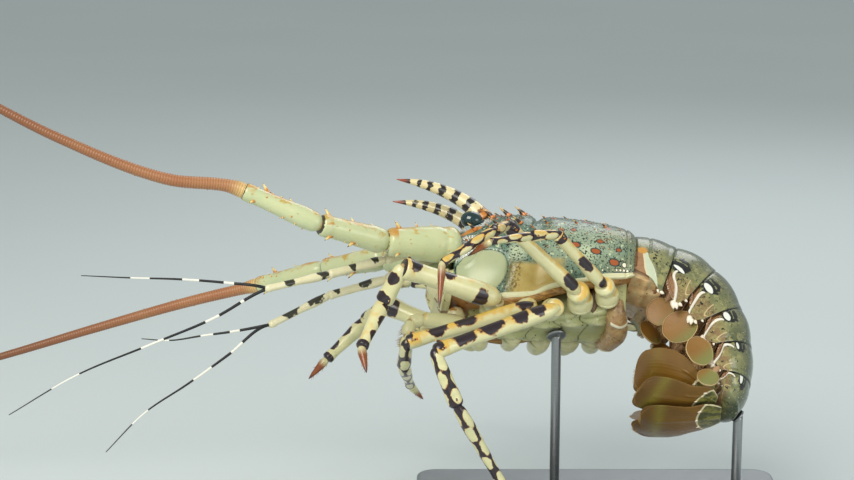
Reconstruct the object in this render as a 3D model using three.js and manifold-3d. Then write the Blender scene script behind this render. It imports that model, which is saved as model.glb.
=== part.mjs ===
// Ornate spiny lobster, life size, held on a plain display stand.
// Millimetres. The world has +Z up, the head towards -X and the belly turned towards -Y.

import * as THREE from "three";
import { mergeVertices } from "three/addons/utils/BufferGeometryUtils.js";
import Module from "manifold-3d";

// How the animal hangs in the room

const bodyPlace = new THREE.Vector3(20, 14, 205);
const bodyBank = 42;
const bodyPitch = 9;
const gap = 0.3;

const sides = { left: -1, right: 1 };
const degree = Math.PI / 180;

// Carapace: rows from the rear margin to the brow, each half a section of the shell

const carapaceRows = [
  { x: -7, top: 46, half: 42.5, wide: 8, rim: [41, -10] },
  { x: -12, top: 49, half: 45.5, wide: 8, rim: [43, -13] },
  { x: -24, top: 51, half: 48, wide: 6, rim: [45, -17] },
  { x: -42, top: 52, half: 50, wide: 3, rim: [46, -23] },
  { x: -62, top: 51.5, half: 50.5, wide: 0, rim: [45, -30] },
  { x: -78, top: 50.5, half: 49.5, wide: -4, rim: [42.5, -37] },
  { x: -86, top: 47.5, half: 46.5, wide: -6, rim: [40, -42] },
  { x: -93, top: 50, half: 47.5, wide: -7, rim: [39.5, -44] },
  { x: -110, top: 48.5, half: 44.5, wide: -9, rim: [37.5, -47] },
  { x: -126, top: 44, half: 40.5, wide: -11, rim: [34, -49] },
  { x: -140, top: 37, half: 36, wide: -12, rim: [31, -48] },
  { x: -150, top: 27, half: 31, wide: -12, rim: [27, -44] },
];

// Thorn rows on the carapace: share of the section, first and last x, count, length

const thornRows = [
  { share: 0.2, from: -124, to: -98, count: 3, length: 10 },
  { share: 0.36, from: -138, to: -102, count: 3, length: 8 },
  { share: 0.5, from: -136, to: -106, count: 2, length: 8 },
  { share: 0.1, from: -118, to: -98, count: 2, length: 6 },
  { share: 0.14, from: -80, to: -26, count: 4, length: 4.5 },
  { share: 0.34, from: -80, to: -32, count: 3, length: 4.5 },
];

// Eyes

const eyePlace = new THREE.Vector3(-141.5, 22, 31);
const eyeHalf = new THREE.Vector3(9.2, 7.4, 7.4);
const orbitRoom = 1.4;

// Breastplate under the carapace, and the mouth frame under the feelers

const breastRows = [
  { x: -9, half: 27, top: -4, bottom: -37 },
  { x: -26, half: 29, top: -8, bottom: -43 },
  { x: -50, half: 25, top: -15, bottom: -48 },
  { x: -78, half: 20.5, top: -26, bottom: -53 },
  { x: -106, half: 15.5, top: -34, bottom: -57 },
  { x: -128, half: 12, top: -38, bottom: -58 },
  { x: -134, half: 9, top: -39, bottom: -54 },
];
const mouthRows = [
  { x: -151, half: 27, top: -14.5, bottom: -47 },
  { x: -158, half: 25, top: -15, bottom: -45 },
  { x: -165, half: 20, top: -17, bottom: -39 },
  { x: -170, half: 12, top: -20, bottom: -31 },
];

// Brow horns: steps of a walk hold length, forward angle and up angle

const hornRoot = new THREE.Vector3(-130, 14, 38);
const hornSteps = [[21, 89, 38], [21, 87, 21], [21, 86, 9], [21, 86, -1]];
const hornRadii = [6.6, 6, 4.8, 3.3, 0.7];

// Feelers: root, walked steps of the three articles, then of the whip

const feelerRoot = new THREE.Vector3(-150.6, 24, 4);
const feelerPoses = {
  left: [[61, 81, -12], [60, 66, -7], [66, 79, 11]],
  right: [[61, 72, 15], [60, 58, -3], [66, 58, -6]],
};
const feelerArticles = [
  { rings: [[0.14, 15], [0.5, 14], [0.88, 11.5]], waist: 9.5 },
  { rings: [[0.14, 11], [0.5, 9.5], [0.88, 9]], waist: 7 },
  { rings: [[0.14, 8.6], [0.5, 7.6], [0.88, 7]], waist: 5.6 },
];
const feelerThorns = [
  { article: 0, share: 0.82, forward: 40, up: 35, length: 8 },
  { article: 0, share: 0.86, forward: 150, up: 20, length: 8 },
  { article: 1, share: 0.5, forward: 60, up: -60, length: 7 },
  { article: 1, share: 0.84, forward: 60, up: -60, length: 7 },
  { article: 1, share: 0.86, forward: 60, up: 55, length: 8 },
  { article: 2, share: 0.72, forward: 70, up: 60, length: 9 },
  { article: 2, share: 0.84, forward: 50, up: -50, length: 6 },
];
const whipPoses = {
  left: [[60, 74, -10], [90, 75, 5], [90, 75, 13], [110, 74, 13], [110, 74, 5], [100, 76, -4]],
  right: [[60, 70, -14], [90, 72, -18], [90, 72, -19], [110, 75, -19], [110, 76, -17], [100, 78, -12]],
};
const feelerStart = 15;
const peduncleStart = 8.5;
const thornReach = [10.5, 7.5, 5.5];
const thornRadius = 2.4;
const whipRoot = 5.2;
const whipTip = 0.6;

// The small feelers: a jointed stalk, then two whips

const smallFeelerRoot = new THREE.Vector3(-150.8, 6.5, 20);
const smallFeelerPoses = {
  left: [[66, 85, -30], [50, 84, -29], [56, 79, -29]],
  right: [[66, 85, -36], [50, 85, -25], [56, 87, -38]],
};
const smallFeelerArticles = [
  { rings: [[0.08, 4.6], [0.9, 4]], waist: 3.2 },
  { rings: [[0.1, 3.9], [0.9, 3.5]], waist: 2.8 },
  { rings: [[0.1, 3.4], [0.9, 3]], waist: 2.2 },
];
const smallWhipStart = new THREE.Vector3(-1.6, 1.4, 0.84);
const smallWhipRoot = 1.3;
const smallWhipTip = 0.35;
const smallWhips = {
  outer: {
    left: [[28, 90, -2], [38, 90, -5], [40, 90, -8], [38, 88, -8]],
    right: [[27, 79, -16], [26, 81, -14], [27, 82, -15], [23, 88, -5]],
  },
  inner: {
    left: [[43, 99, -39], [57, 93, -34], [62, 90, -35], [59, 92, -43]],
    right: [[40, 82, -48], [40, 85, -47], [43, 88, -46], [43, 83, -57]],
  },
};

// Mouth legs

const mouthLegRoot = new THREE.Vector3(-136.5, 9.5, -60);
const mouthLegSteps = [[34, 86, -4], [11, 80, -30], [12, 120, -80], [8, -90, -40]];
const mouthLegArticles = [
  { rings: [[0.15, 7], [0.85, 6]], waist: 4.6 },
  { rings: [[0.5, 5.6]], waist: 4.4 },
  { rings: [[0.5, 5.2]], waist: 3.6 },
  { rings: [[0.5, 3.2]], waist: 0.8 },
];

// Walking legs: root on the breastplate, six article lengths, radius of each article

const legSizes = [
  { root: [-118, 15, -48], lengths: [12, 14, 87, 33, 48, 22.5], girths: [8, 7.6, 9, 7, 6, 3.6] },
  { root: [-93, 19, -47], lengths: [13, 15, 105, 36, 63, 27], girths: [8, 7, 6.2, 5.6, 5, 3.4] },
  { root: [-69, 23, -44], lengths: [15, 20, 106, 46, 81, 31], girths: [8.5, 7.4, 6.6, 6, 5.2, 3.6] },
  { root: [-46, 27, -37], lengths: [14, 15, 84, 27, 55, 36], girths: [10.5, 9, 6, 4.8, 4, 3] },
  { root: [-25, 31, -31], lengths: [13, 14, 66, 25, 46, 25], girths: [9.5, 8, 5.2, 4.4, 3.6, 2.8] },
];

// Leg poses: forward and up angles of coxa, ischium, merus, carpus, propodus and dactyl

const legPoses = {
  left: [
    [[5, -8], [-18, 3], [66, -3], [156, -39], [57, -73], [-74, -72]],
    [[5, -8], [-31, -15], [96, -25], [-178, -4], [-171, 12], [-150, 0]],
    [[5, -12], [-5, -30], [90, -31], [-123, -52], [-138, -28], [-141, -28]],
    [[10, 10], [18, -15], [54, 15], [34, -40], [75, -47], [-155, -81]],
    [[10, 15], [23, -13], [46, 12], [66, -25], [55, -31], [142, -11]],
  ],
  right: [
    [[10, -12], [-4, 1], [82, 20], [26, -5], [72, -51], [57, -49]],
    [[5, -8], [0, 25], [5, 52], [30, 20], [80, 5], [110, -30]],
    [[5, -8], [0, 30], [0, 52], [-40, 25], [-80, 0], [-100, -30]],
    [[5, -8], [0, 30], [-10, 50], [-30, 30], [-80, 5], [-100, -30]],
    [[0, 0], [-10, 20], [-40, 42], [-70, 10], [-85, 0], [-100, -30]],
  ],
};

// Tail: hinge points in the middle plane, with the half width and back height there

const tailHinges = [
  { at: [-6.6, 1], tilt: 0, half: 41, back: 45, belly: 12 },
  { at: [20, -4.5], tilt: -13, half: 40, back: 48, belly: 10 },
  { at: [42, -15], tilt: -31, half: 40, back: 48, belly: 8 },
  { at: [59, -33], tilt: -52, half: 39, back: 41, belly: 7 },
  { at: [70, -54], tilt: -68, half: 37, back: 33, belly: 7 },
  { at: [76, -77], tilt: -85, half: 33, back: 25, belly: 7 },
  { at: [77, -91], tilt: -122, half: 27, back: 17, belly: 7 },
];

// Each segment in turn: how far its side flaps hang, and its swimming leaves as radius,
// place (ahead, out to the side, down), bank and lean

const tailSegments = [
  { hang: 9 },
  { hang: 15, left: [11.2, -2, 19, 19.5, 16, 30], right: [11.2, -2, 19, 19.5, 16, 30] },
  { hang: 14, left: [14.2, 4, 30, 24.5, 16, 20], right: [14.2, 4, 30, 24.5, 16, 20] },
  { hang: 12, left: [12, 15.7, 42, 24.5, -8, -14], right: [12, 10, 33, 20, 16, 20] },
  { hang: 9, left: [8.5, 19.5, 39, 20, 16, 0], right: [8.5, 8, 26, 19, 16, 20] },
  { hang: 6, dome: 4 },
];
const domeShrink = 0.6;
const tailShares = [0, 0.2, 0.5, 0.8, 1];
const flapShares = [0.3, 0.7, 1, 0.95, 0.3];
const flapThickness = 2.6;
const leafFlatness = 0.09;
const stemRoot = new THREE.Vector3(6, 28, -3);

// Tail fan: a middle blade and two pairs, layered from the back of the fan inwards

const fanTurn = -172;
const fanYaw = 10;
const fanRoll = 3;
const fanRoot = new THREE.Vector3(79, 0, -101.5);
const middleWidths = [14, 20, 21, 24, 20, 9];
const innerWidths = [8, 18, 21, 25, 21, 9];
const middleSide = [8, 13, 18, 23, 20, 9];
const narrowSide = [5, 7, 8, 8, 7, 4];
const wideSide = [6, 9, 27, 33, 28, 11];
const middleBlade = {
  start: 0, spread: 0, out: 0, cup: 0, layer: 0, length: 65, inward: middleWidths, outward: middleWidths,
};
const innerBlade = {
  start: 5, spread: 19, out: 13, cup: 6, layer: 5, length: 66, inward: middleSide, outward: innerWidths,
};
const outerBlade = {
  start: 5, spread: 8, out: 22, cup: 36, layer: 12, length: 65, inward: narrowSide, outward: wideSide,
};
const fanBlades = [
  { name: "telson", side: 0, ...middleBlade },
  { name: "uropod_left_inner", side: sides.left, ...innerBlade },
  { name: "uropod_right_inner", side: sides.right, ...innerBlade },
  { name: "uropod_left_outer", side: sides.left, ...outerBlade },
  { name: "uropod_right_outer", side: sides.right, ...outerBlade, start: 10, length: 61 },
];
const bladeShares = [0, 0.12, 0.4, 0.72, 0.94, 1];
const bladeThick = [1.7, 1.6, 1.3, 1, 0.7, 0.4];
const bladeBow = 3;
const bladeHollow = 20;

// Stand: a flat base with two short rods, each ending in a small pad under the animal

const baseSize = new THREE.Vector3(320, 250, 12);
const baseCorner = 18;
const rodRadius = 4;
const padThickness = 3;
const standRods = [
  { name: "stand_rod_front", padRadius: 8, contact: [-45, -20, 177.2], facing: [-0.07, 0.71, 0.7] },
  { name: "stand_rod_rear", padRadius: 6, contact: [102, -38, 113.4], facing: [-0.75, 0.1, 0.65] },
];

// Colours and surface of the shell

function shell(color, roughness = 0.35) {
  return new THREE.MeshStandardMaterial({ color, roughness, metalness: 0 });
}

const backShell = shell(0x5f7c74);
const bellyShell = shell(0xd9cfa6, 0.45);
const creamShell = shell(0xe3d9b0);
const legShell = shell(0xdccb92);
const legTipShell = shell(0xb98a5a, 0.4);
const hornShell = shell(0x3a2a24);
const eyeShell = shell(0x101820, 0.12);
const whipShell = shell(0xb5664f, 0.5);
const feelerShell = shell(0x1c1a1c, 0.5);
const tailShell = shell(0x68704a);
const fanShell = shell(0xa4602c, 0.5);
const standMetal = new THREE.MeshStandardMaterial({
  color: 0x9a9c9e,
  roughness: 0.35,
  metalness: 1,
});

// Solids and meshes

const wasm = await Module();
wasm.setup();

function solidFrom(geometry) {
  const bare = geometry.clone();
  bare.deleteAttribute("normal");
  bare.deleteAttribute("uv");
  const merged = mergeVertices(bare, 1e-4);
  const corners = merged.index.array;
  const faces = [];
  for (let i = 0; i < corners.length; i += 3) {
    const [a, b, c] = corners.slice(i, i + 3);
    if (a !== b && b !== c && c !== a) faces.push(a, b, c);
  }
  const make = (order) =>
    new wasm.Manifold(
      new wasm.Mesh({
        numProp: 3,
        vertProperties: Float32Array.from(merged.attributes.position.array),
        triVerts: Uint32Array.from(order),
      }),
    );
  const solid = make(faces);
  return solid.volume() < 0 ? make(faces.reverse()) : solid;
}

const lobster = new THREE.Group();
const pitched = new THREE.Group();
const body = new THREE.Group();
pitched.position.copy(bodyPlace);
pitched.rotation.y = bodyPitch * degree;
body.rotation.x = -bodyBank * degree;
pitched.add(body);
lobster.add(pitched);

function addMesh(parent, name, solid, material) {
  const made = solid.getMesh();
  const geometry = new THREE.BufferGeometry();
  geometry.setAttribute(
    "position",
    new THREE.BufferAttribute(Float32Array.from(made.vertProperties), 3),
  );
  geometry.setIndex(new THREE.BufferAttribute(Uint32Array.from(made.triVerts), 1));
  geometry.computeVertexNormals();
  const mesh = new THREE.Mesh(geometry, material);
  mesh.name = name;
  parent.add(mesh);
}

// A closed form: place(turn, row) gives its skin, turn 0 to 1 round each of its rows

function loft(around, rows, place) {
  const geometry = new THREE.CylinderGeometry(1, 1, 1, around, rows - 1);
  const position = geometry.attributes.position;
  const middles = [];
  for (let row = 0; row < rows; row++) {
    const middle = new THREE.Vector3();
    for (let k = 0; k < around; k++) middle.add(place(k / around, row));
    middles.push(middle.divideScalar(around));
  }
  for (let i = 0; i < position.count; i++) {
    const x = position.getX(i);
    const z = position.getZ(i);
    const row = Math.round((0.5 - position.getY(i)) * (rows - 1));
    const onSkin = Math.hypot(x, z) > 0.5;
    const turn = (Math.atan2(x, z) / (2 * Math.PI) + 1) % 1;
    const point = onSkin ? place(turn, row) : middles[row];
    position.setXYZ(i, point.x, point.y, point.z);
  }
  return solidFrom(geometry);
}

// Directions on the body: forward 0 is straight out to the animal's side, 90 is ahead

function aim(side, forward, up) {
  const level = Math.cos(up * degree);
  return new THREE.Vector3(
    -Math.sin(forward * degree) * level,
    side * Math.cos(forward * degree) * level,
    Math.sin(up * degree),
  );
}

function walk(start, side, steps) {
  const points = [start.clone()];
  for (const [length, forward, up] of steps) {
    points.push(points.at(-1).clone().addScaledVector(aim(side, forward, up), length));
  }
  return points;
}

// A rod with a changing radius: stations hold { at, along, radius }, flat widens it sideways

function rod(stations, around, flat = 1) {
  const first = stations[0].along.clone().normalize();
  const across = new THREE.Vector3(0, 0, 1).cross(first);
  if (across.length() < 0.2) across.set(0, 1, 0);
  across.addScaledVector(first, -across.dot(first)).normalize();
  const frames = [];
  let before = first;
  for (const station of stations) {
    const along = station.along.clone().normalize();
    const turn = new THREE.Quaternion().setFromUnitVectors(before, along);
    across.applyQuaternion(turn);
    frames.push([across.clone(), new THREE.Vector3().crossVectors(along, across)]);
    before = along;
  }
  return loft(around, stations.length, (turn, row) => {
    const angle = turn * 2 * Math.PI;
    const { at, radius } = stations[row];
    return at
      .clone()
      .addScaledVector(frames[row][0], Math.cos(angle) * radius * flat)
      .addScaledVector(frames[row][1], Math.sin(angle) * radius);
  });
}

// A jointed limb: each article has rings at [share of its length, radius] and a waist at its end

function limb(points, articles, firstRadius, around, ends = {}) {
  const directions = articles.map((_, i) => points[i + 1].clone().sub(points[i]).normalize());
  const stations = [
    { at: points[0], along: ends.first ?? directions[0], radius: firstRadius },
  ];
  articles.forEach(({ rings, waist }, i) => {
    for (const [share, radius] of rings) {
      const at = points[i].clone().lerp(points[i + 1], share);
      stations.push({ at, along: directions[i], radius });
    }
    const next = directions[i + 1] ?? ends.last ?? directions[i];
    const along = i + 1 < articles.length ? directions[i].clone().add(next) : next;
    stations.push({ at: points[i + 1], along, radius: waist });
  });
  return rod(stations, around);
}

// A thorn standing on a surface point

function thorn(at, along, length, radius) {
  const spike = new THREE.ConeGeometry(radius, length * 1.25, 4);
  spike.translate(0, length * 0.375, 0);
  const turn = new THREE.Quaternion().setFromUnitVectors(
    new THREE.Vector3(0, 1, 0),
    along.clone().normalize(),
  );
  spike.applyQuaternion(turn);
  spike.translate(at.x, at.y, at.z);
  return solidFrom(spike);
}

// Carapace: a domed shell, its section an arch, then a wall down to the rim, then the underside

const archShare = 0.6;
const wallShare = 0.2;
const underRise = 4;

function carapaceSection(row, share, grow = 0) {
  const { x, top, half, wide, rim } = row;
  if (share <= archShare) {
    const angle = (share / archShare) * 90 * degree;
    const z = wide + (top + grow - wide) * Math.cos(angle);
    return new THREE.Vector3(x, (half + grow) * Math.sin(angle), z);
  }
  if (share <= archShare + wallShare) {
    const down = (share - archShare) / wallShare;
    const z = THREE.MathUtils.lerp(wide, rim[1] - grow, down);
    const y = THREE.MathUtils.lerp(half, rim[0], down * down) + grow;
    return new THREE.Vector3(x, y, z);
  }
  const inward = (share - archShare - wallShare) / (1 - archShare - wallShare);
  const y = (rim[0] + grow) * (1 - inward);
  return new THREE.Vector3(x, y, rim[1] - grow + underRise * Math.sin(inward * 90 * degree));
}

function carapaceForm(grow = 0) {
  return loft(24, carapaceRows.length, (turn, index) => {
    const side = turn > 0.5 ? sides.left : sides.right;
    const share = turn > 0.5 ? 2 - 2 * turn : 2 * turn;
    const point = carapaceSection(carapaceRows[index], share, grow);
    point.y *= side;
    if (index === 0) point.x += grow;
    if (index === carapaceRows.length - 1) point.x -= grow;
    return point;
  });
}

function carapaceSkin(x, share, side) {
  const index = carapaceRows.findIndex((row) => row.x <= x);
  const near = carapaceRows[Math.max(index - 1, 0)];
  const far = carapaceRows[index];
  const blend = near === far ? 0 : (near.x - x) / (near.x - far.x);
  const point = carapaceSection(near, share).lerp(carapaceSection(far, share), blend);
  point.y *= side;
  return point;
}

let carapace = carapaceForm();
for (const side of Object.values(sides)) {
  for (const { share, from, to, count, length } of thornRows) {
    for (let i = 0; i < count; i++) {
      const x = THREE.MathUtils.lerp(from, to, i / (count - 1));
      const at = carapaceSkin(x, share, side);
      const outward = new THREE.Vector3(0, at.y, at.z + 10).normalize();
      const along = outward.multiplyScalar(0.6).add(aim(side, 90, 0));
      carapace = carapace.add(thorn(at, along, length, length * 0.28));
    }
  }
  const orbit = new THREE.SphereGeometry(1, 8, 5);
  orbit.scale(eyeHalf.x + orbitRoom, eyeHalf.y + orbitRoom, eyeHalf.z + orbitRoom);
  orbit.translate(eyePlace.x, side * eyePlace.y, eyePlace.z);
  carapace = carapace.subtract(solidFrom(orbit));
}
addMesh(body, "carapace", carapace, backShell);
const carapaceRoom = carapaceForm(gap);

// Breastplate and mouth frame: rows of rounded boxes

const squareness = 0.6;

function plateForm(rows) {
  return loft(12, rows.length, (turn, index) => {
    const { x, half, top, bottom } = rows[index];
    const angle = turn * 2 * Math.PI;
    const round = (value) => Math.sign(value) * Math.abs(value) ** squareness;
    const middle = (top + bottom) / 2;
    const y = half * round(Math.sin(angle));
    const z = middle + ((top - bottom) / 2) * round(Math.cos(angle));
    return new THREE.Vector3(x, y, z);
  });
}

const breastRoom = plateForm(
  breastRows.map(({ x, half, top, bottom }) => ({
    x,
    half: half + gap,
    top: top + gap,
    bottom: bottom - gap,
  })),
);
addMesh(body, "breastplate", plateForm(breastRows).subtract(carapaceRoom), bellyShell);
addMesh(body, "mouth_frame", plateForm(mouthRows), creamShell);

// A whip tapers evenly along a smooth curve through its walked points

function whip(points, fromShare, toShare, rootRadius, tipRadius, rows, around) {
  const curve = new THREE.CatmullRomCurve3(points);
  const stations = [];
  for (let i = 0; i < rows; i++) {
    const share = THREE.MathUtils.lerp(fromShare, toShare, i / (rows - 1));
    stations.push({
      at: curve.getPointAt(share),
      along: curve.getTangentAt(share),
      radius: THREE.MathUtils.lerp(rootRadius, tipRadius, share),
    });
  }
  return rod(stations, around);
}

function mirrored(point, side) {
  return new THREE.Vector3(point.x, side * point.y, point.z);
}

// Brow horns, eyes, feelers and mouth legs, one of each per side

for (const [sideName, side] of Object.entries(sides)) {
  const hornPoints = walk(mirrored(hornRoot, side), side, hornSteps);
  const hornStations = hornPoints.map((at, i) => {
    const next = hornPoints[Math.min(i + 1, hornPoints.length - 1)];
    const last = hornPoints[Math.max(i - 1, 0)];
    return { at, along: next.clone().sub(last), radius: hornRadii[i] };
  });
  const horn = rod(hornStations, 8, 0.8).subtract(carapaceRoom);
  addMesh(body, "horn_" + sideName, horn, hornShell);

  const eye = new THREE.SphereGeometry(1, 9, 6);
  eye.scale(eyeHalf.x, eyeHalf.y, eyeHalf.z);
  eye.translate(eyePlace.x, side * eyePlace.y, eyePlace.z);
  addMesh(body, "eye_" + sideName, solidFrom(eye), eyeShell);

  const joints = walk(mirrored(feelerRoot, side), side, feelerPoses[sideName]);
  const bend = joints[1].clone().sub(joints[0]).normalize();
  const bend2 = joints[2].clone().sub(joints[1]).normalize();
  const seam = bend.clone().add(bend2).normalize();
  const ahead = aim(side, 90, 0);
  const baseEnds = { first: ahead, last: seam };
  let base = limb(joints.slice(0, 2), feelerArticles.slice(0, 1), feelerStart, 9, baseEnds);
  const elbow = joints[1].clone().addScaledVector(seam, gap * 2);
  const peduncleJoints = [elbow, joints[2], joints[3]];
  let peduncle = limb(peduncleJoints, feelerArticles.slice(1), peduncleStart, 8, { first: seam });
  for (const { article, share, forward, up, length } of feelerThorns) {
    const along = aim(side, forward, up);
    const middle = joints[article].clone().lerp(joints[article + 1], share);
    const direction = joints[article + 1].clone().sub(joints[article]).normalize();
    const outward = along.clone().addScaledVector(direction, -along.dot(direction)).normalize();
    const spike = thorn(middle.addScaledVector(outward, thornReach[article]), along, length, thornRadius);
    if (article === 0) base = base.add(spike);
    else peduncle = peduncle.add(spike);
  }
  addMesh(body, "antenna_" + sideName + "_base", base, creamShell);
  addMesh(body, "antenna_" + sideName + "_peduncle", peduncle, creamShell);

  const tip = joints[3].clone().sub(joints[2]).normalize();
  const whipStart = joints[3].clone().addScaledVector(tip, gap * 6);
  const whipPoints = walk(whipStart, side, whipPoses[sideName]);
  for (let length = 0; length < 3; length++) {
    const start = length / 3 + (length ? 0.0006 : 0);
    const name = "antenna_" + sideName + "_flagellum_" + (length + 1);
    const piece = whip(whipPoints, start, (length + 1) / 3, whipRoot, whipTip, 6, 6);
    addMesh(body, name, piece, whipShell);
  }

  const stalkPoints = walk(mirrored(smallFeelerRoot, side), side, smallFeelerPoses[sideName]);
  const stalk = limb(stalkPoints, smallFeelerArticles, 4, 6, { first: ahead });
  addMesh(body, "antennule_" + sideName, stalk, feelerShell);
  for (const [whipName, poses] of Object.entries(smallWhips)) {
    const split = whipName === "outer" ? 1 : -1;
    const { x, y, z } = smallWhipStart;
    const start = stalkPoints[3].clone().add(new THREE.Vector3(x, split * side * y, split * z));
    const points = walk(start, side, poses[sideName]);
    const piece = whip(points, 0, 1, smallWhipRoot, smallWhipTip, 8, 5);
    addMesh(body, "antennule_" + sideName + "_" + whipName, piece, feelerShell);
  }

  const mouthLegPoints = walk(mirrored(mouthLegRoot, side), side, mouthLegSteps);
  const mouthLeg = limb(mouthLegPoints, mouthLegArticles, 5, 7);
  addMesh(body, "mouth_leg_" + sideName, mouthLeg, creamShell);
}

// Walking legs, each an upper and a lower length that meet at the knee

for (const [sideName, side] of Object.entries(sides)) {
  legSizes.forEach(({ root, lengths, girths }, i) => {
    const steps = legPoses[sideName][i].map((pose, article) => [lengths[article], ...pose]);
    const points = walk(mirrored(new THREE.Vector3(...root), side), side, steps);
    const kneeAlong = points[4].clone().sub(points[3]).normalize();
    const merusAlong = points[3].clone().sub(points[2]).normalize();
    const knee = girths[3] * 0.62;
    const seam = merusAlong.clone().add(kneeAlong).normalize();
    const upperPoints = points.slice(0, 4);
    const lowerPoints = points.slice(3);
    lowerPoints[0] = lowerPoints[0].clone().addScaledVector(seam, gap * 2);
    const upper = limb(
      upperPoints,
      [
        { rings: [[0.5, girths[0]]], waist: girths[1] * 0.82 },
        { rings: [[0.55, girths[1]]], waist: girths[2] * 0.78 },
        {
          rings: [[0.14, girths[2]], [0.5, girths[2] * 0.94], [0.88, girths[2] * 0.92]],
          waist: knee,
        },
      ],
      girths[0] * 0.9,
      7,
      { last: seam },
    );
    const lower = limb(
      lowerPoints,
      [
        { rings: [[0.2, girths[3] * 0.88], [0.8, girths[3]]], waist: girths[4] * 0.72 },
        { rings: [[0.12, girths[4]], [0.86, girths[4] * 0.8]], waist: girths[5] * 0.8 },
        { rings: [[0.2, girths[5]], [0.65, girths[5] * 0.6]], waist: 0.5 },
      ],
      knee,
      7,
      { first: seam },
    );
    const name = "leg_" + sideName + "_" + (i + 1);
    const clear = upper.subtract(carapaceRoom).subtract(breastRoom);
    addMesh(body, name + "_upper", clear, legShell);
    addMesh(body, name + "_lower", lower, legTipShell);
  });
}

// Half a section: six points over the back, the flap's outer and inner edge, then the belly

function tailSection({ half, back, belly }, corner, hang, swell) {
  if (corner <= 5) {
    const angle = corner * 18 * degree;
    return [half * swell * Math.sin(angle), back * swell * Math.cos(angle)];
  }
  if (corner === 6) return [half + 1, -hang];
  if (corner === 7) return [half + 1 - flapThickness, -hang];
  if (corner === 8) return [half - 7, -belly * 0.6];
  return [0, -belly];
}

tailSegments.forEach(({ hang, dome, ...leaves }, i) => {
  const near = tailHinges[i];
  const far = tailHinges[i + 1];
  const start = new THREE.Vector3(near.at[0], 0, near.at[1]);
  const end = new THREE.Vector3(far.at[0], 0, far.at[1]);
  let segment = loft(18, tailShares.length + (dome ? 1 : 0), (turn, row) => {
    const side = turn > 0.5 ? sides.left : sides.right;
    const corner = Math.round(18 * (turn > 0.5 ? 1 - turn : turn));
    const domed = row === tailShares.length;
    const shrink = domed ? domeShrink : 1;
    const step = domed ? 1 : tailShares[row];
    const hangNow = domed ? 0 : hang * flapShares[row];
    const swell = 1 + 0.05 * Math.sin(step * Math.PI);
    const tilt = THREE.MathUtils.lerp(near.tilt, far.tilt, step) * degree;
    const [y1, z1] = tailSection(near, corner, hangNow, swell);
    const [y2, z2] = tailSection(far, corner, hangNow, swell);
    const y = THREE.MathUtils.lerp(y1, y2, step) * shrink;
    const centre = (far.back - far.belly) / 2;
    const z = THREE.MathUtils.lerp(z1, z2, step) * shrink + centre * (1 - shrink);
    const inset = domed ? dome : (step === 0 ? gap / 2 : 0) - (step === 1 ? gap / 2 : 0);
    const point = start.clone().lerp(end, step);
    point.x += inset * Math.cos(tilt) - z * Math.sin(tilt);
    point.z += inset * Math.sin(tilt) + z * Math.cos(tilt);
    point.y = side * y;
    return point;
  });
  const along = end.clone().sub(start).normalize();
  const normal = new THREE.Vector3(-along.z, 0, along.x);
  const toSegment = new THREE.Matrix4().makeBasis(along, new THREE.Vector3(0, 1, 0), normal);
  toSegment.setPosition(start.clone().lerp(end, 0.5));
  for (const [sideName, [radius, ahead, out, down, bank, lean]] of Object.entries(leaves)) {
    const side = sides[sideName];
    const centre = new THREE.Vector3(ahead, side * out, -down);
    const blade = new THREE.SphereGeometry(radius, 7, 4);
    blade.rotateX(Math.PI / 2);
    blade.scale(1, leafFlatness, 1.1);
    blade.rotateZ(side * bank * degree);
    blade.rotateX(-side * lean * degree);
    blade.translate(...centre);
    const foot = new THREE.Vector3(Math.min(ahead, stemRoot.x), side * stemRoot.y, stemRoot.z);
    const reach = centre.sub(foot);
    const stem = new THREE.CylinderGeometry(2.4, 2.8, reach.length(), 4);
    stem.translate(0, reach.length() / 2, 0);
    const up = new THREE.Vector3(0, 1, 0);
    stem.applyQuaternion(new THREE.Quaternion().setFromUnitVectors(up, reach.normalize()));
    stem.translate(...foot);
    for (const part of [blade, stem]) {
      part.applyMatrix4(toSegment);
      segment = segment.add(solidFrom(part));
    }
  }
  addMesh(body, "abdomen_" + (i + 1), segment, tailShell);
});

// Tail fan

for (const fanBlade of fanBlades) {
  const { name, side, start, spread, out, cup, layer, length, inward, outward } = fanBlade;
  const blade = loft(8, bladeShares.length, (turn, row) => {
    const angle = turn * 2 * Math.PI;
    const middle = (outward[row] - inward[row]) / 2;
    const half = (outward[row] + inward[row]) / 2;
    const across = (middle + half * Math.cos(angle)) * (side || 1);
    const curl = bladeBow * Math.sin(bladeShares[row] * Math.PI) - (across / bladeHollow) ** 2;
    const lift = bladeThick[row] * Math.sin(angle) + curl;
    return new THREE.Vector3(bladeShares[row] * length, across, lift);
  });
  const frame = new THREE.Matrix4().makeTranslation(start, side * out, -layer);
  frame.multiply(new THREE.Matrix4().makeRotationX(-side * cup * degree));
  frame.multiply(new THREE.Matrix4().makeRotationZ(side * spread * degree));
  frame.premultiply(new THREE.Matrix4().makeRotationX(fanRoll * degree));
  frame.premultiply(new THREE.Matrix4().makeRotationZ(fanYaw * degree));
  frame.premultiply(new THREE.Matrix4().makeRotationY(-fanTurn * degree));
  frame.premultiply(new THREE.Matrix4().setPosition(fanRoot));
  addMesh(body, name, blade.transform(frame.elements), fanShell);
}

// Display stand

const plan = new THREE.Shape();
const halfLong = baseSize.x / 2 - baseCorner;
const halfDeep = baseSize.y / 2 - baseCorner;
plan.absarc(halfLong, halfDeep, baseCorner, 0, 90 * degree);
plan.absarc(-halfLong, halfDeep, baseCorner, 90 * degree, 180 * degree);
plan.absarc(-halfLong, -halfDeep, baseCorner, 180 * degree, 270 * degree);
plan.absarc(halfLong, -halfDeep, baseCorner, 270 * degree, 360 * degree);
const slab = new THREE.ExtrudeGeometry(plan, {
  depth: baseSize.z,
  bevelEnabled: false,
  curveSegments: 4,
});
addMesh(lobster, "stand_base", solidFrom(slab), standMetal);

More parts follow.
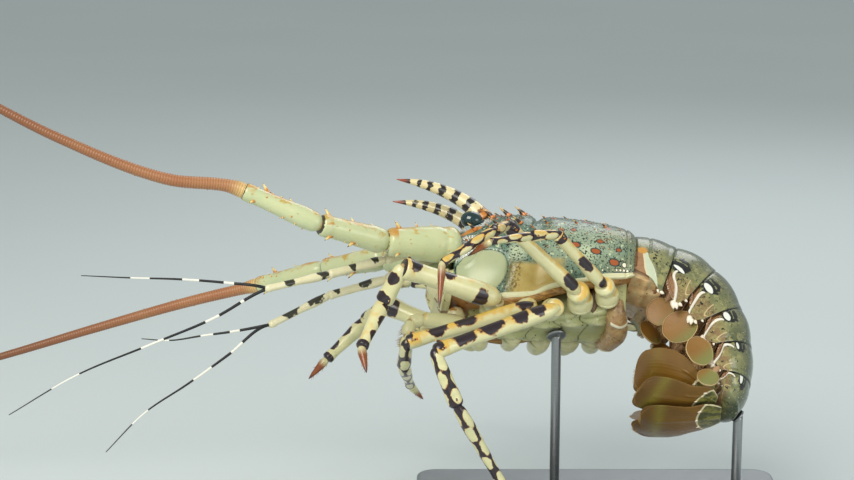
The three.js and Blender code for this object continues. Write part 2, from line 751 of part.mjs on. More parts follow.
for (const { name, padRadius, contact, facing } of standRods) {
  const top = new THREE.Vector3(...contact);
  const towards = new THREE.Vector3(...facing).normalize();
  const pad = new THREE.CylinderGeometry(padRadius, padRadius, padThickness, 12);
  pad.translate(0, -padThickness / 2, 0);
  const turn = new THREE.Quaternion().setFromUnitVectors(new THREE.Vector3(0, 1, 0), towards);
  pad.applyQuaternion(turn);
  pad.translate(top.x, top.y, top.z);
  const centre = top.clone().addScaledVector(towards, -padThickness / 2);
  const foot = baseSize.z + gap;
  const post = new THREE.CylinderGeometry(rodRadius, rodRadius, centre.z - foot, 10);
  post.rotateX(Math.PI / 2);
  post.translate(centre.x, centre.y, (centre.z + foot) / 2);
  addMesh(lobster, name, solidFrom(pad).add(solidFrom(post)), standMetal);
}

export default lobster;
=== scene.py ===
# Ornate spiny lobster on a display stand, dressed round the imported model.
# Lengths are millimetres until a mesh is made. The animal has a frame of its own:
# its head points to -X, its left side to -Y and its back to +Z.

import math

import bpy
import numpy as np
from mathutils import Matrix, Vector


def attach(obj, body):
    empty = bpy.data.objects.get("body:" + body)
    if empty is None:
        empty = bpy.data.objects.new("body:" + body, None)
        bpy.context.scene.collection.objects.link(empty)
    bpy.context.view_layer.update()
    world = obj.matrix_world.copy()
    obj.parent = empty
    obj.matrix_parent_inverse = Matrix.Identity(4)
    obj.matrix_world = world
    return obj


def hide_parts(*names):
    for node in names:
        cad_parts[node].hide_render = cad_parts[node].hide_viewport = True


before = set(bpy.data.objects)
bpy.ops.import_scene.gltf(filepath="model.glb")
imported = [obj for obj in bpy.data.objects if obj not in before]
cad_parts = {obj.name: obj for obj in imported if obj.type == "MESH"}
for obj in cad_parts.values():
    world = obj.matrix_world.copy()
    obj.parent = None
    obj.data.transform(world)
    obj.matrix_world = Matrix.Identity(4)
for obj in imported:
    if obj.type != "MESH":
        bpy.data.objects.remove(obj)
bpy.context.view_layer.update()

# The room: a pale floor, three soft lights and the camera.
# The camera looks 12 degrees down, and the animal's own origin (the joint between
# back shell and tail) shows at origin_pixel of the 854 x 480 picture.

millimetre = 0.001
degree = math.pi / 180
picture_width = 854
picture_centre = (427, 240)
focal_pixels = 1900
origin_pixel = (632, 291)
camera_far = 1583
camera_down = 12
sensor_width = 36
animal_place = Vector((20, 14, 205))

view_line = Vector((0, math.cos(camera_down * degree), -math.sin(camera_down * degree)))
view_up = Vector((0, math.sin(camera_down * degree), math.cos(camera_down * degree)))
camera_place = animal_place - camera_far * view_line
camera_place.x -= (origin_pixel[0] - picture_centre[0]) / focal_pixels * camera_far
camera_place += (origin_pixel[1] - picture_centre[1]) / focal_pixels * camera_far * view_up
camera_data = bpy.data.cameras.new("camera")
camera_data.sensor_width = sensor_width
camera_data.lens = focal_pixels / picture_width * sensor_width
camera = bpy.data.objects.new("camera", camera_data)
camera.location = camera_place * millimetre
camera.rotation_euler = ((90 - camera_down) * degree, 0, 0)
bpy.context.scene.collection.objects.link(camera)
bpy.context.scene.camera = camera


def add_light(name, place, size, power, tone):
    data = bpy.data.lights.new(name, "AREA")
    data.size = size
    data.energy = power
    data.color = tone
    light = bpy.data.objects.new(name, data)
    light.location = place
    light.visible_camera = False
    aim_point = animal_place * millimetre
    light.rotation_euler = (aim_point - light.location).to_track_quat("-Z", "Y").to_euler()
    bpy.context.scene.collection.objects.link(light)


add_light("light_key", Vector((-0.9, -1.5, 1.7)), 1.3, 41, (1.0, 0.97, 0.88))
add_light("light_fill", Vector((1.5, -1.3, 0.66)), 1.0, 10, (0.96, 0.98, 0.94))
add_light("light_rim", Vector((0.5, 1.5, 1.5)), 1.1, 9, (0.95, 0.98, 1.0))
world = bpy.data.worlds.new("studio")
world.use_nodes = True
world.node_tree.nodes["Background"].inputs["Color"].default_value = (0.80, 0.86, 0.84, 1)
world.node_tree.nodes["Background"].inputs["Strength"].default_value = 0.55
bpy.context.scene.world = world
bpy.context.scene.view_settings.view_transform = "Standard"


def tint(code):
    """A colour from its usual screen code, such as 0xE3D9B0."""
    parts = [(code >> shift & 255) / 255 for shift in (16, 8, 0)]
    return (*[c / 12.92 if c <= 0.04045 else ((c + 0.055) / 1.055) ** 2.4 for c in parts], 1.0)


class Finish:
    """A surface finish: its shader and the pattern nodes that feed it. Sizes are millimetres."""

    into_body = None

    def __init__(self, name, roughness, coat=(0.0, 0.03), **fixed):
        self.material = bpy.data.materials.new(name)
        self.material.use_nodes = True
        self.tree = self.material.node_tree
        self.shader = self.tree.nodes["Principled BSDF"]
        fixed.update(Roughness=roughness, Coat_Weight=coat[0], Coat_Roughness=coat[1])
        for socket, value in fixed.items():
            self.shader.inputs[socket.replace("_", " ")].default_value = value
        self.place = self.tree.nodes.new("ShaderNodeTexCoord").outputs["Object"]
        if Finish.into_body:
            shift, turn = Finish.into_body.to_translation(), Finish.into_body.to_euler()
            feeds = {"Vector": self.place, "Location": shift, "Rotation": turn}
            self.place = self.node("Mapping", feeds)

    def node(self, kind, feeds, out=0, **settings):
        made = self.tree.nodes.new("ShaderNode" + kind)
        for setting, value in settings.items():
            setattr(made, setting, value)
        for socket, value in feeds.items():
            if isinstance(value, bpy.types.NodeSocket):
                self.tree.links.new(value, made.inputs[socket])
            else:
                made.inputs[socket].default_value = value
        return made.outputs[out]

    def field(self, name):
        return self.node("Attribute", {}, "Fac", attribute_name=name)

    def noise(self, size, detail=2.0, warp=0.0, at=None):
        feeds = {"Vector": at or self.place, "Scale": 1 / (size * millimetre)}
        return self.node("TexNoise", {**feeds, "Detail": detail, "Distortion": warp})

    def cells(self, size):
        feeds = {"Vector": self.place, "Scale": 1 / (size * millimetre)}
        return self.node("TexVoronoi", feeds, "Distance")

    def drawn(self, share):
        """The place, drawn out along the animal so that patterns there run lengthways."""
        return self.node("Mapping", {"Vector": self.place, "Scale": (share, 1, 1)})

    def sum(self, first, second, operation="ADD"):
        return self.node("Math", {0: first, 1: second}, operation=operation)

    def times(self, first, second):
        return self.sum(first, second, "MULTIPLY")

    def frayed(self, name, size, detail, amount=1.0, warp=0.0):
        """A field whose edge is frayed by noise."""
        fray = self.sum(self.noise(size, detail, warp), -0.5)
        return self.sum(self.field(name), self.times(fray, amount))

    def rise(self, value, low, high):
        value = self.field(value) if isinstance(value, str) else value
        feeds = {"Value": value, "From Min": low, "From Max": high}
        return self.node("MapRange", feeds, interpolation_type="SMOOTHSTEP")

    def mix(self, share, first, second):
        tones = [tint(part) if isinstance(part, int) else part for part in (first, second)]
        return self.node("Mix", {0: share, 6: tones[0], 7: tones[1]}, 2, data_type="RGBA")

    def cloud(self, size, detail, first, second, warp=0.0):
        """Two tones that drift into each other."""
        return self.mix(self.noise(size, detail, warp), first, second)

    def split(self, edge, low, high, first, second):
        """The first tone below the low value of a field or pattern, the second above the high."""
        return self.mix(self.rise(edge, low, high), first, second)

    def over(self, share, tone):
        """Lays a tone over the finish in the share that a field or pattern gives."""
        share = self.field(share) if isinstance(share, str) else share
        self.tone = self.mix(share, self.tone, tone)

    def paint(self, edge, low, high, tone):
        """Lays a tone over the finish where a field or pattern rises from low to high."""
        self.tone = self.split(edge, low, high, self.tone, tone)

    def sheen(self, size, detail, amount, least):
        return self.sum(self.times(self.noise(size, detail), amount), least)

    def wear(self, roughness=None, height=None, depth=0.3, strength=0.6):
        """Joins the finished tone, roughness and relief to the shader."""
        self.tree.links.new(self.tone, self.shader.inputs["Base Color"])
        if roughness is not None:
            self.tree.links.new(roughness, self.shader.inputs["Roughness"])
        if height is not None:
            feeds = {"Height": height, "Distance": depth * millimetre, "Strength": strength}
            self.tree.links.new(self.node("Bump", feeds), self.shader.inputs["Normal"])
        return self.material


floor_half = 25
floor_mesh = bpy.data.meshes.new("floor")
floor_corners = [(-1, -1), (1, -1), (1, 1), (-1, 1)]
floor_points = [(x * floor_half, y * floor_half, 0) for x, y in floor_corners]
floor_mesh.from_pydata(floor_points, [], [(0, 1, 2, 3)])
floor = bpy.data.objects.new("floor", floor_mesh)
bpy.context.scene.collection.objects.link(floor)
floor_finish = Finish("floor_paint", 0.75)
floor_finish.tone = floor_finish.cloud(900, 3, 0xC9D2D4, 0xD3DADB)
floor_mesh.materials.append(floor_finish.wear())

# The display stand: a flat plate of brushed aluminium with its edges eased, and two turned
# posts that screw into it through a collar. Each post ends in a cup with a dark rubber pad,
# set square to the shell that rests on it.


class Skins:
    """Skins joined into one piece. Rows of points run along each skin, one row round it."""

    def __init__(self, place):
        self.place = place
        self.points = []
        self.faces = []
        self.looks = []
        self.worn = []
        self.fields = {}
        self.count = 0

    def add(self, rows, look, **fields):
        """Joins a closed skin of rows, with a fan of triangles over each end."""
        rows = np.asarray(rows, float)
        lines, around = rows.shape[:2]
        i, j = (part.ravel() for part in np.mgrid[0 : lines - 1, 0:around])
        k = (j + 1) % around
        low, high = i * around, (i + 1) * around
        faces = (np.stack([low + j, low + k, high + k, high + j], 1) + self.count).tolist()
        for end, row in enumerate((0, lines - 1)):
            middle = self.count + lines * around + end
            for step in range(around):
                pair = [row * around + step, row * around + (step + 1) % around]
                pair = [self.count + corner for corner in (pair if end else pair[::-1])]
                faces.append([middle, *pair])
        for name, value in fields.items():
            full = np.broadcast_to(np.asarray(value, float), (lines, around))
            flat = np.concatenate([full.ravel(), full[[0, -1]].mean(1)])
            self.fields.setdefault(name, []).append((self.count, flat))
        if look not in self.looks:
            self.looks.append(look)
        self.worn += [self.looks.index(look)] * len(faces)
        self.points += [rows.reshape(-1, 3), rows[[0, -1]].mean(1)]
        self.faces += faces
        self.count += lines * around + 2

    def done(self, name, slot, *nodes):
        turn = np.array(self.place)
        points = np.concatenate(self.points) * millimetre @ turn[:3, :3].T + turn[:3, 3]
        mesh = bpy.data.meshes.new(name)
        mesh.from_pydata(points.tolist(), [], self.faces)
        for look in self.looks:
            mesh.materials.append(look)
        mesh.polygons.foreach_set("material_index", self.worn)
        mesh.polygons.foreach_set("use_smooth", [True] * len(self.faces))
        for field, parts in self.fields.items():
            values = np.zeros(self.count, np.float32)
            for start, part in parts:
                values[start : start + len(part)] = part
            layer = mesh.attributes.new(field, "FLOAT", "POINT")
            layer.data.foreach_set("value", values)
        piece = bpy.data.objects.new(name, mesh)
        bpy.context.scene.collection.objects.link(piece)
        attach(piece, "root")
        if nodes:
            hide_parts(*nodes)
        return piece


def ramp(value, start=0.0, length=1.0):
    """0 up to the start, then rising to 1 over the length."""
    return np.clip((value - start) / length, 0, 1)


def columns(table):
    """The columns of a table, each as a column of numbers."""
    return (np.array(part, float)[:, None] for part in zip(*table))


def smooth(at, keys, values):
    """Values on a smooth curve through the keys."""
    keys, values, at = (np.asarray(part, float) for part in (keys, values, at))
    slopes = np.gradient(values, keys)
    i = np.clip(np.searchsorted(keys, at) - 1, 0, len(keys) - 2)
    span = keys[i + 1] - keys[i]
    t = ramp(at, keys[i], span)
    rise = values[i] * (1 + 2 * t) * (1 - t) ** 2 + values[i + 1] * t * t * (3 - 2 * t)
    return rise + span * t * (1 - t) * (slopes[i] * (1 - t) - slopes[i + 1] * t)


def unit(vectors):
    vectors = np.asarray(vectors, float)
    return vectors / np.linalg.norm(vectors, axis=-1, keepdims=True)


def full_turn(count):
    return np.arange(count) / count * 2 * math.pi


def tube(path, radius, around=20, flat=1.0, hint=(0, 0, 1)):
    """Rows of points round a path. A row starts on the side of the hint; flat squeezes it there."""
    path = np.asarray(path, float)
    along = unit(np.gradient(path, axis=0))
    up = np.array(hint, float)
    if np.linalg.norm(np.cross(up, along[0])) < 0.2:
        up = np.array((1.0, 0.0, 0.0))
    turn = full_turn(around)
    size = np.broadcast_to(np.asarray(radius, float), len(path))
    rows = []
    for point, line, grow in zip(path, along, size):
        up = unit(up - line * (up @ line))
        side = np.cross(line, up)
        ring = np.cos(turn)[:, None] * up * flat + np.sin(turn)[:, None] * side
        rows.append(point + grow * ring)
    return np.array(rows)


room = Matrix.Identity(4)
plate_size = (320, 250, 12)
plate_corner, corner_steps = 18, 12
# The plate's edge: how far each row lies inside the outline, and how high.
plate_edge = [(2.2, 0), (1.2, 0.1), (0.3, 0.6), (0, 1.5), (0, 10.2), (0.25, 11.1), (0.9, 11.75),
              (1.8, 12), (4, 12)]
post_radius, post_around, cup_around = 4, 32, 40
pad_depth, post_sink = 3, 0.3
# Height and radius along the collar; then depth and share of the pad's radius of cup and pad.
collar = [(0, 7.5), (0.3, 8.2), (1.2, 8.5), (3.4, 8.5), (4.4, 7.6), (5, 5.6), (5.2, 4.1)]
cup = [(-3, 0.5), (-2.9, 0.85), (-2.4, 0.98), (-1.6, 1), (-1.1, 0.97)]
pad = [(-1.5, 0.96), (-0.7, 0.97), (-0.25, 0.93), (0, 0.82)]
# Each post: where its pad touches the shell, which way the pad faces, and the pad's radius.
posts = {
    "stand_rod_front": ((-45, -20, 177.2), (-0.07, 0.71, 0.7), 8),
    "stand_rod_rear": ((102, -38, 113.4), (-0.75, 0.1, 0.65), 6),
}

brushed = Finish("brushed_aluminium", 0.34, Metallic=1.0)
strokes = brushed.noise(0.7, 4, at=brushed.drawn(0.03))
brushed.tone = brushed.mix(strokes, 0x85888B, 0xA9ACAE)
brushed_metal = brushed.wear(brushed.rise(strokes, -0.9, 2.4), strokes, 0.05, 0.3)
rubber = Finish("pad_rubber", 0.7)
rubber_grain = rubber.noise(0.8, 3)
rubber.tone = rubber.mix(rubber_grain, 0x17181A, 0x26282A)
rubber_skin = rubber.wear(height=rubber_grain)


def plate_row(inset, height):
    long, deep = plate_size[0] / 2 - plate_corner, plate_size[1] / 2 - plate_corner
    points = []
    for quarter, (x, y) in enumerate([(long, deep), (-long, deep), (-long, -deep), (long, -deep)]):
        for step in range(corner_steps + 1):
            turn = (quarter + step / corner_steps) * math.pi / 2
            reach = plate_corner - inset
            points.append((x + reach * math.cos(turn), y + reach * math.sin(turn), height))
    return points


plate = Skins(room)
plate.add([plate_row(*step) for step in plate_edge], brushed_metal)
plate.done("stand_plate", "stand_metal", "stand_base")

for post_name, (contact, facing_way, pad_radius) in posts.items():
    contact, facing_way = np.array(contact), unit(facing_way)
    centre = contact - facing_way * pad_depth / 2
    upright = (1, 0, 0)
    low = plate_size[2]
    post = Skins(room)
    heights = [low + post_sink, centre[2] - 2, centre[2]]
    path = [(*centre[:2], h) for h in heights]
    post.add(tube(path, post_radius, post_around, hint=upright), brushed_metal)
    path = [(*centre[:2], low + h) for h, _ in collar]
    post.add(tube(path, [r for _, r in collar], post_around, hint=upright), brushed_metal)
    for form, look in ((cup, brushed_metal), (pad, rubber_skin)):
        path = [contact + facing_way * depth for depth, _ in form]
        post.add(tube(path, [r * pad_radius for _, r in form], cup_around), look)
    post.done(post_name + "_turned", "stand_metal", post_name)

# The back shell: one stiff shield over head and chest, hardened with lime, with a bead
# along its lower edge and a rim at the back. A groove runs down each side behind the
# cheek plate, and forward-pointing thorns grow from the shell itself.

animal = Matrix.Translation(animal_place * millimetre)
animal = animal @ Matrix.Rotation(9 * degree, 4, "Y") @ Matrix.Rotation(-42 * degree, 4, "X")
Finish.into_body = animal.inverted()
sides = {"left": -1, "right": 1}
chance = np.random.default_rng(11)
forward = np.array((-1.0, 0.0, 0.0))

# Each row: distance ahead of the tail joint, top, half width, height of the widest
# line, then the lower rim's half width and height.
back_rows = np.array([
    (7, 46, 42.5, 8, 41, -10),
    (12, 49, 45.5, 8, 43, -13),
    (24, 51, 48, 6, 45, -17),
    (42, 52, 50, 3, 46, -23),
    (62, 51.5, 50.5, 0, 45, -30),
    (78, 50.5, 49.5, -4, 42.5, -37),
    (86, 47.5, 46.5, -6, 40, -42),
    (93, 50, 47.5, -7, 39.5, -44),
    (110, 48.5, 44.5, -9, 37.5, -47),
    (126, 44, 40.5, -11, 34, -49),
    (140, 37, 36, -12, 31, -48),
    (150, 27, 31, -12, 27, -44),
]).T
arch_end, wall_end, under_rise = 0.6, 0.8, 4
# Rows of thorns: share, first and last distance ahead, count and length.
thorn_rows = [
    (0.2, 124, 98, 3, 10),
    (0.36, 138, 102, 3, 8),
    (0.5, 136, 106, 2, 8),
    (0.1, 118, 98, 2, 6),
    (0.14, 80, 26, 4, 4.5),
    (0.34, 80, 32, 3, 4.5),
]
eye_place, eye_half, orbit_half = (-141.5, 22, 31), (9.2, 7.4, 7.4), (10.6, 8.8, 8.8)
cheek_place, cheek_half = (129.5, 0.668), (20, 0.108)
socket_place, socket_half = (147, 0.53), (16, 0.125)
groove_width, seam_width = 1.7, 1.0
grain_count, wrinkle_count = 900, 70
thorn_clearance = 16
front_bristles, rear_bristles = 46, 70


def mirrored(point, side):
    """A point of the right side, moved to the side that is asked for."""
    return np.asarray(point, float) * (1, side, 1)


def bell(value, width):
    return np.exp(-((value / width) ** 2))


def back_skin(ahead, share, side=1.0, grow=0.0):
    """Points of the back shell. Share runs from the middle of the back down to the belly."""
    ahead, share, side, grow = np.broadcast_arrays(ahead, share, side, grow)
    top, half, wide, rim_y, rim_z = (smooth(ahead, back_rows[0], row) for row in back_rows[1:])
    bend = ramp(share, 0, arch_end) * math.pi / 2
    down = (share - arch_end) / (wall_end - arch_end)
    under = (share - wall_end) / (1 - wall_end)
    arch = [(half + grow) * np.sin(bend), wide + (top + grow - wide) * np.cos(bend)]
    wall = [half + (rim_y - half) * down**2 + grow, wide + (rim_z - grow - wide) * down]
    floor_ = [(rim_y + grow) * (1 - under), rim_z - grow + under_rise * np.sin(under * math.pi / 2)]
    pick = [share <= arch_end, share <= wall_end]
    y, z = (np.select(pick, [arch[k], wall[k]], floor_[k]) for k in (0, 1))
    return np.stack([-ahead + 0.0 * y, side * y, z], -1)


def facing(rows):
    """The outward direction at each point of closed rows."""
    along = np.gradient(rows, axis=0)
    around = np.roll(rows, -1, 1) - np.roll(rows, 1, 1)
    return unit(np.cross(around, along) + 1e-9)


def ovals(rows, centres, long, high):
    """1 at the middle of the nearest oval, 0 at its edge, less outside."""
    best = np.full(rows.shape[:2], -9.0)
    for centre, a, b in zip(centres, long, high):
        near = np.abs(rows[:, 0, 0] - centre[0]) < 3 * a
        away = rows[near] - centre
        reach = np.hypot(away[..., 0] / a, np.hypot(away[..., 1], away[..., 2]) / b)
        best[near] = np.maximum(best[near], 1 - reach)
    return best


half_ring = np.concatenate([np.linspace(0, wall_end, 110), np.linspace(wall_end, 1, 12)[1:]])
back_share = np.concatenate([half_ring, half_ring[-2:0:-1]])[None]
back_side = np.where(np.arange(back_share.shape[1]) < len(half_ring), 1.0, -1.0)[None]
rear_lip = [(13, -5), (8.6, -3), (7.4, -1.6), (7, -0.7), (7.1, 0)]
front_lip = [(149.8, 0), (150.6, -0.6), (151.1, -2), (151.2, -5), (150, -12)]
back_steps = rear_lip + [(a, 0) for a in np.linspace(7.6, 149.4, 250)] + front_lip
back_ahead, back_grow = columns(back_steps)
back_points = back_skin(back_ahead, back_share, back_side, back_grow)
back_out = facing(back_points)


def about(place, half):
    """Reach from a place of the back shell: 1 on the edge of an oval of that half size."""
    return np.hypot((back_ahead - place[0]) / half[0], (back_share - place[1]) / half[1])


# The relief: groove, cheek plate, bead on the lower edge, rear rim, middle line and socket.
groove_shares = [0, 0.2, 0.35, 0.5, 0.58, 0.64, 0.70, 0.76, 0.8]
groove_line = smooth(back_share, groove_shares, [86, 87, 91, 97, 102, 108, 109, 113, 115])
cheek = about(cheek_place, cheek_half)
outer_share = back_share < wall_end
behind = back_ahead - groove_line
relief = 0.7 * bell(behind + 5, 3) - 1.5 * bell(behind, groove_width)
relief += 2.3 * np.sqrt(ramp(1 - cheek**2)) - 0.9 * bell(cheek - 1.05, 0.05)
relief += 1.1 * bell(back_share - 0.787, 0.011) - 0.7 * bell(back_share - 0.766, 0.007)
relief += 0.8 * (back_ahead < 11.6) - 0.8 * bell(back_ahead - 12.8, seam_width)
relief -= 0.5 * bell(back_share, 0.012) * bell(back_ahead - 45, 34)
socket = about(socket_place, socket_half)
relief += 1.1 * bell(socket - 1.0, 0.07) - 0.8 * (socket < 0.93)


def either_side(count):
    return np.where(chance.random(count) < 0.5, 1, -1)


grain_ahead = chance.uniform(16, 148, grain_count)
grain_share = chance.uniform(0.01, 0.63, grain_count) * either_side(grain_count)
grain_size = chance.uniform(0.7, 1.25, grain_count) * np.where(grain_ahead > 90, 1.25, 0.8)
wrinkle_ahead = chance.uniform(99, 108, wrinkle_count)
wrinkle_share = chance.uniform(0.6, 0.76, wrinkle_count) * either_side(wrinkle_count)
grain_ahead = np.concatenate([grain_ahead, wrinkle_ahead])
grain_share = np.concatenate([grain_share, wrinkle_share])
grain_size = np.concatenate([grain_size, chance.uniform(0.9, 1.5, wrinkle_count)])
grain_places = back_skin(grain_ahead, np.abs(grain_share), np.sign(grain_share))
grain = ramp(ovals(back_points, grain_places, grain_size, grain_size))
relief += 0.7 * grain**0.7 * (cheek > 1.02) * (socket > 0.93)

back_points = back_points + back_out * (relief * outer_share * (back_grow == 0))[..., None]
for side in sides.values():
    away = (back_points - mirrored(eye_place, side)) / orbit_half
    out_way = back_out / orbit_half
    pace, reach = (out_way**2).sum(2), (away**2).sum(2)
    rise = (away * out_way).sum(2) / pace
    sink = rise + np.sqrt(np.clip(rise**2 - (reach - 1) / pace, 0, None))
    inside = (reach < 1) & (back_points[..., 1] * side > 0)
    back_points = back_points - back_out * np.where(inside, sink, 0)[..., None]

# Spots of the left side: distance ahead, share, half length and half height. The right
# side's are the same, a little shifted.
spots = [
    (57, 0.56, 3.6, 2.4), (40, 0.6, 3.9, 2.4), (24, 0.68, 3.9, 2.8), (37, 0.52, 2.8, 1.8),
    (21, 0.58, 2.2, 1.7), (84, 0.42, 2.6, 1.8), (69, 0.43, 2.6, 1.8), (59, 0.43, 2.4, 1.6),
    (48, 0.3, 3, 2.1), (30, 0.36, 2.8, 2), (74, 0.27, 2.8, 2), (17, 0.24, 2.4, 1.8),
    (62, 0.12, 2.8, 2), (34, 0.14, 2.8, 2), (112, 0.3, 2.4, 1.8), (122, 0.45, 2.2, 1.7),
]
spot_ahead, spot_share, spot_long, spot_high = np.array(spots).T
shift = chance.uniform(-3, 3, len(spots))
left_spots = back_skin(spot_ahead, spot_share, -1)
right_spots = back_skin(spot_ahead + shift, spot_share + 0.01 * shift, 1)
spot_places = np.concatenate([left_spots, right_spots])
spot_field = ovals(back_points, spot_places, [*spot_long] * 2, [*spot_high] * 2)
# Cream beads in the rear corner: distance ahead, share and half size.
beads = [
    (9.5, 0.748, 1), (12.3, 0.745, 1.1), (15.2, 0.742, 1.1), (18.2, 0.74, 1), (21.4, 0.738, 0.9),
    (15.2, 0.70, 2), (33, 0.735, 0.8), (38, 0.74, 0.8), (29, 0.72, 0.7),
]
bead_ahead, bead_share, bead_size = np.array(beads).T
bead_places = np.concatenate([back_skin(bead_ahead, bead_share, side) for side in (-1, 1)])
bead_sizes = [*bead_size] * 2
bead_field = ovals(back_points, bead_places, bead_sizes, bead_sizes)
eye_away = [(back_points - mirrored(eye_place, side)) / eye_half for side in (-1, 1)]
eye_away = np.minimum(*(np.linalg.norm(away, axis=2) for away in eye_away)) * eye_half[1]


def band(value, low, high, soft):
    """1 between low and high, fading out over soft at each end."""
    return ramp(value, low, soft) * ramp(value, high, -soft)


def region(ahead, share):
    """1 inside a patch of the back shell, given as low, high and softness along and down it."""
    return band(back_ahead, *ahead) * band(back_share, *share)


ochre = region((62, 110, 9), (0.635, 0.79, 0.02)) * (cheek > 1)
pale = [region((30, 66, 16), (0.5, 0.72, 0.08)), region((93, 112, 6), (0.52, 0.65, 0.04)),
        0.45 * region((10, 90, 20), (0.3, 0.75, 0.15))]
zebra = np.maximum(band(eye_away, 6, 15, 2), socket < 0.97)
edge_dark = [band(back_share, 0.752, 0.766, 0.004) * (back_ahead < 24),
             band(socket, 0.97, 1.09, 0.02) * (back_share > 0.5),
             0.9 * band(cheek, 1.0, 1.06, 0.02) * (back_ahead > 127)]

shell = Finish("back_shell", 0.34, coat=(0.2, 0.22), Specular_IOR_Level=0.4)
shell.tone = shell.cloud(17, 3, 0x476656, 0x7D9480)
shell.paint(shell.sum(shell.noise(26, 2), shell.field("rear")), 0.62, 1.25, 0x93895A)
shell.over("upper", 0x38473C)
shell.over("pale", 0xB7C3A4)
mottle = shell.rise(shell.noise(1.6, 2, 0.5), 0.56, 0.6)
shell.over(shell.times(mottle, shell.field("netting")), 0x10191B)
fleck = shell.rise(shell.noise(3.3, 2, 0.4), 0.63, 0.68)
shell.over(shell.times(fleck, shell.field("netting")), 0xBFC7A2)
shell.over("ochre", shell.cloud(9, 3, 0xB0904C, 0xC9B670))
wrinkle = shell.rise(shell.noise(2.6, 2, 1.5), 0.5, 0.56)
shell.over(shell.times(wrinkle, shell.field("wrinkle")), 0x7A6A3C)
shell.over("zebra", shell.split(shell.noise(1.5, 1, 2.5), 0.5, 0.53, 0xE6EAE4, 0x0E1A20))
spot_edge = shell.frayed("spots", 1.6, 2, 0.3)
shell.paint(spot_edge, -0.38, -0.2, 0x1B3A3C)
shell.paint(spot_edge, -0.02, 0.12, 0xA4562C)
shell.paint("beads", -0.45, -0.2, 0x222A20)
shell.paint("beads", -0.05, 0.12, 0xEFE9D2)
shell.paint("patch", 1.05, 0.9, 0xC8843A)
shell.paint("lid", 0.4, 0.6, 0xC2D6D6)
shell.paint("dark", 0.4, 0.6, 0x14282C)
shell.paint("cheek", 0.4, 0.6, shell.cloud(14, 2, 0xA2AD8A, 0xB7BA90))
shell.paint("rim", 0.4, 0.6, shell.cloud(8, 2, 0xE2DEBC, 0xCFCE9E))
shell.paint("under", 0.4, 0.6, shell.cloud(5, 3, 0x8A4E24, 0xC08A4A))
back_look = shell.wear(shell.sheen(5, 3, 0.22, 0.2), shell.noise(0.9, 3), 0.16, 0.5)

back = Skins(animal)
back.add(
    back_points, back_look,
    rear=bell(back_ahead - 10, 22) * 0.5 * (back_share > 0.3),
    pale=np.max(pale, axis=0),
    netting=(1 - 0.85 * ramp(ochre * 1.5)) * (back_share < 0.78),
    ochre=ochre,
    wrinkle=region((97, 112, 3), (0.62, 0.78, 0.02)) * (cheek > 1.03),
    zebra=zebra * band(back_share, 0.1, 0.62, 0.04) * (back_ahead > 120),
    spots=spot_field,
    beads=bead_field,
    patch=about((141, 0.35), (8.5, 0.032)),
    lid=band(eye_away, 8.6, 10.4, 0.3) * (back_share > 0.24),
    dark=np.max(edge_dark, axis=0),
    cheek=cheek < 1,
    rim=band(back_share, np.where(back_ahead < 46, 0.755, 0.768), 2, 0.008),
    under=back_share > 0.806,
    upper=0.92 * ramp(back_share, 0.5, -0.4),
)
back.done("back_shield", "back_shell", "carapace")

thorn = Finish("thorn_shell", 0.28, coat=(0.3, 0.1))
thorn_tip = thorn.frayed("tip", 2, 2)
thorn.tone = thorn.split(thorn_tip, 0.1, 0.3, 0xD07A35, 0x3A2A1E)
thorn.paint(thorn_tip, 0.55, 0.8, 0xD9B26A)
thorn_look = thorn.wear(height=thorn.noise(0.7, 2), depth=0.1)
thorn_profile = [1.5, 1.16, 0.96, 0.84, 0.72, 0.58, 0.43, 0.27, 0.1]


def grow_thorn(skins, root, along, length, radius, look, bend=(0, 0, 0), around=12,
               profile=thorn_profile, **fields):
    """A curved thorn: its foot flares into the shell, and its point leans towards the bend."""
    shares = np.linspace(-0.06, 1, len(profile))
    along, bend = unit(along), np.array(bend, float)
    path = [np.array(root) + length * (s * along + max(s, 0) ** 2 * bend) for s in shares]
    rows = tube(path, np.array(profile) * radius, around, hint=(0, 1, 0))
    skins.add(rows, look, tip=shares.clip(0, 1)[:, None], **fields)


thorns = Skins(animal)


def back_thorn(ahead, share, side, rise, length, width, bend=0.0, around=12):
    root = back_skin(ahead, share, side)
    out = unit((0, root[1], root[2] + 10))
    way = rise * out + forward
    grow_thorn(thorns, root, way, length, length * width, thorn_look, bend * forward, around)


for side in sides.values():
    for share, first, last, count, length in thorn_rows:
        for ahead in np.linspace(first, last, count):
            back_thorn(ahead, share, side, 0.75, length, 0.2, 0.12)
    front = zip(chance.uniform(92, 146, front_bristles), chance.uniform(0.04, 0.52, front_bristles))
    for ahead, share in front:
        clear = np.linalg.norm(back_skin(ahead, share, side) - mirrored(eye_place, side))
        if clear > thorn_clearance:
            back_thorn(ahead, share, side, 0.9, chance.uniform(1.6, 3.2), 0.26, 0.1, 9)
    rear = zip(chance.uniform(16, 84, rear_bristles), chance.uniform(0.03, 0.6, rear_bristles))
    for ahead, share in rear:
        back_thorn(ahead, share, side, 0.5, chance.uniform(0.9, 1.5), 0.34, around=8)
thorns.done("back_thorns", "back_shell", "carapace")

# The eyes: a wet, near-black cornea of very small facets on a short stalk of shell, which
# turns in a socket under the brow. A pale blue ring closes the skin round its foot.

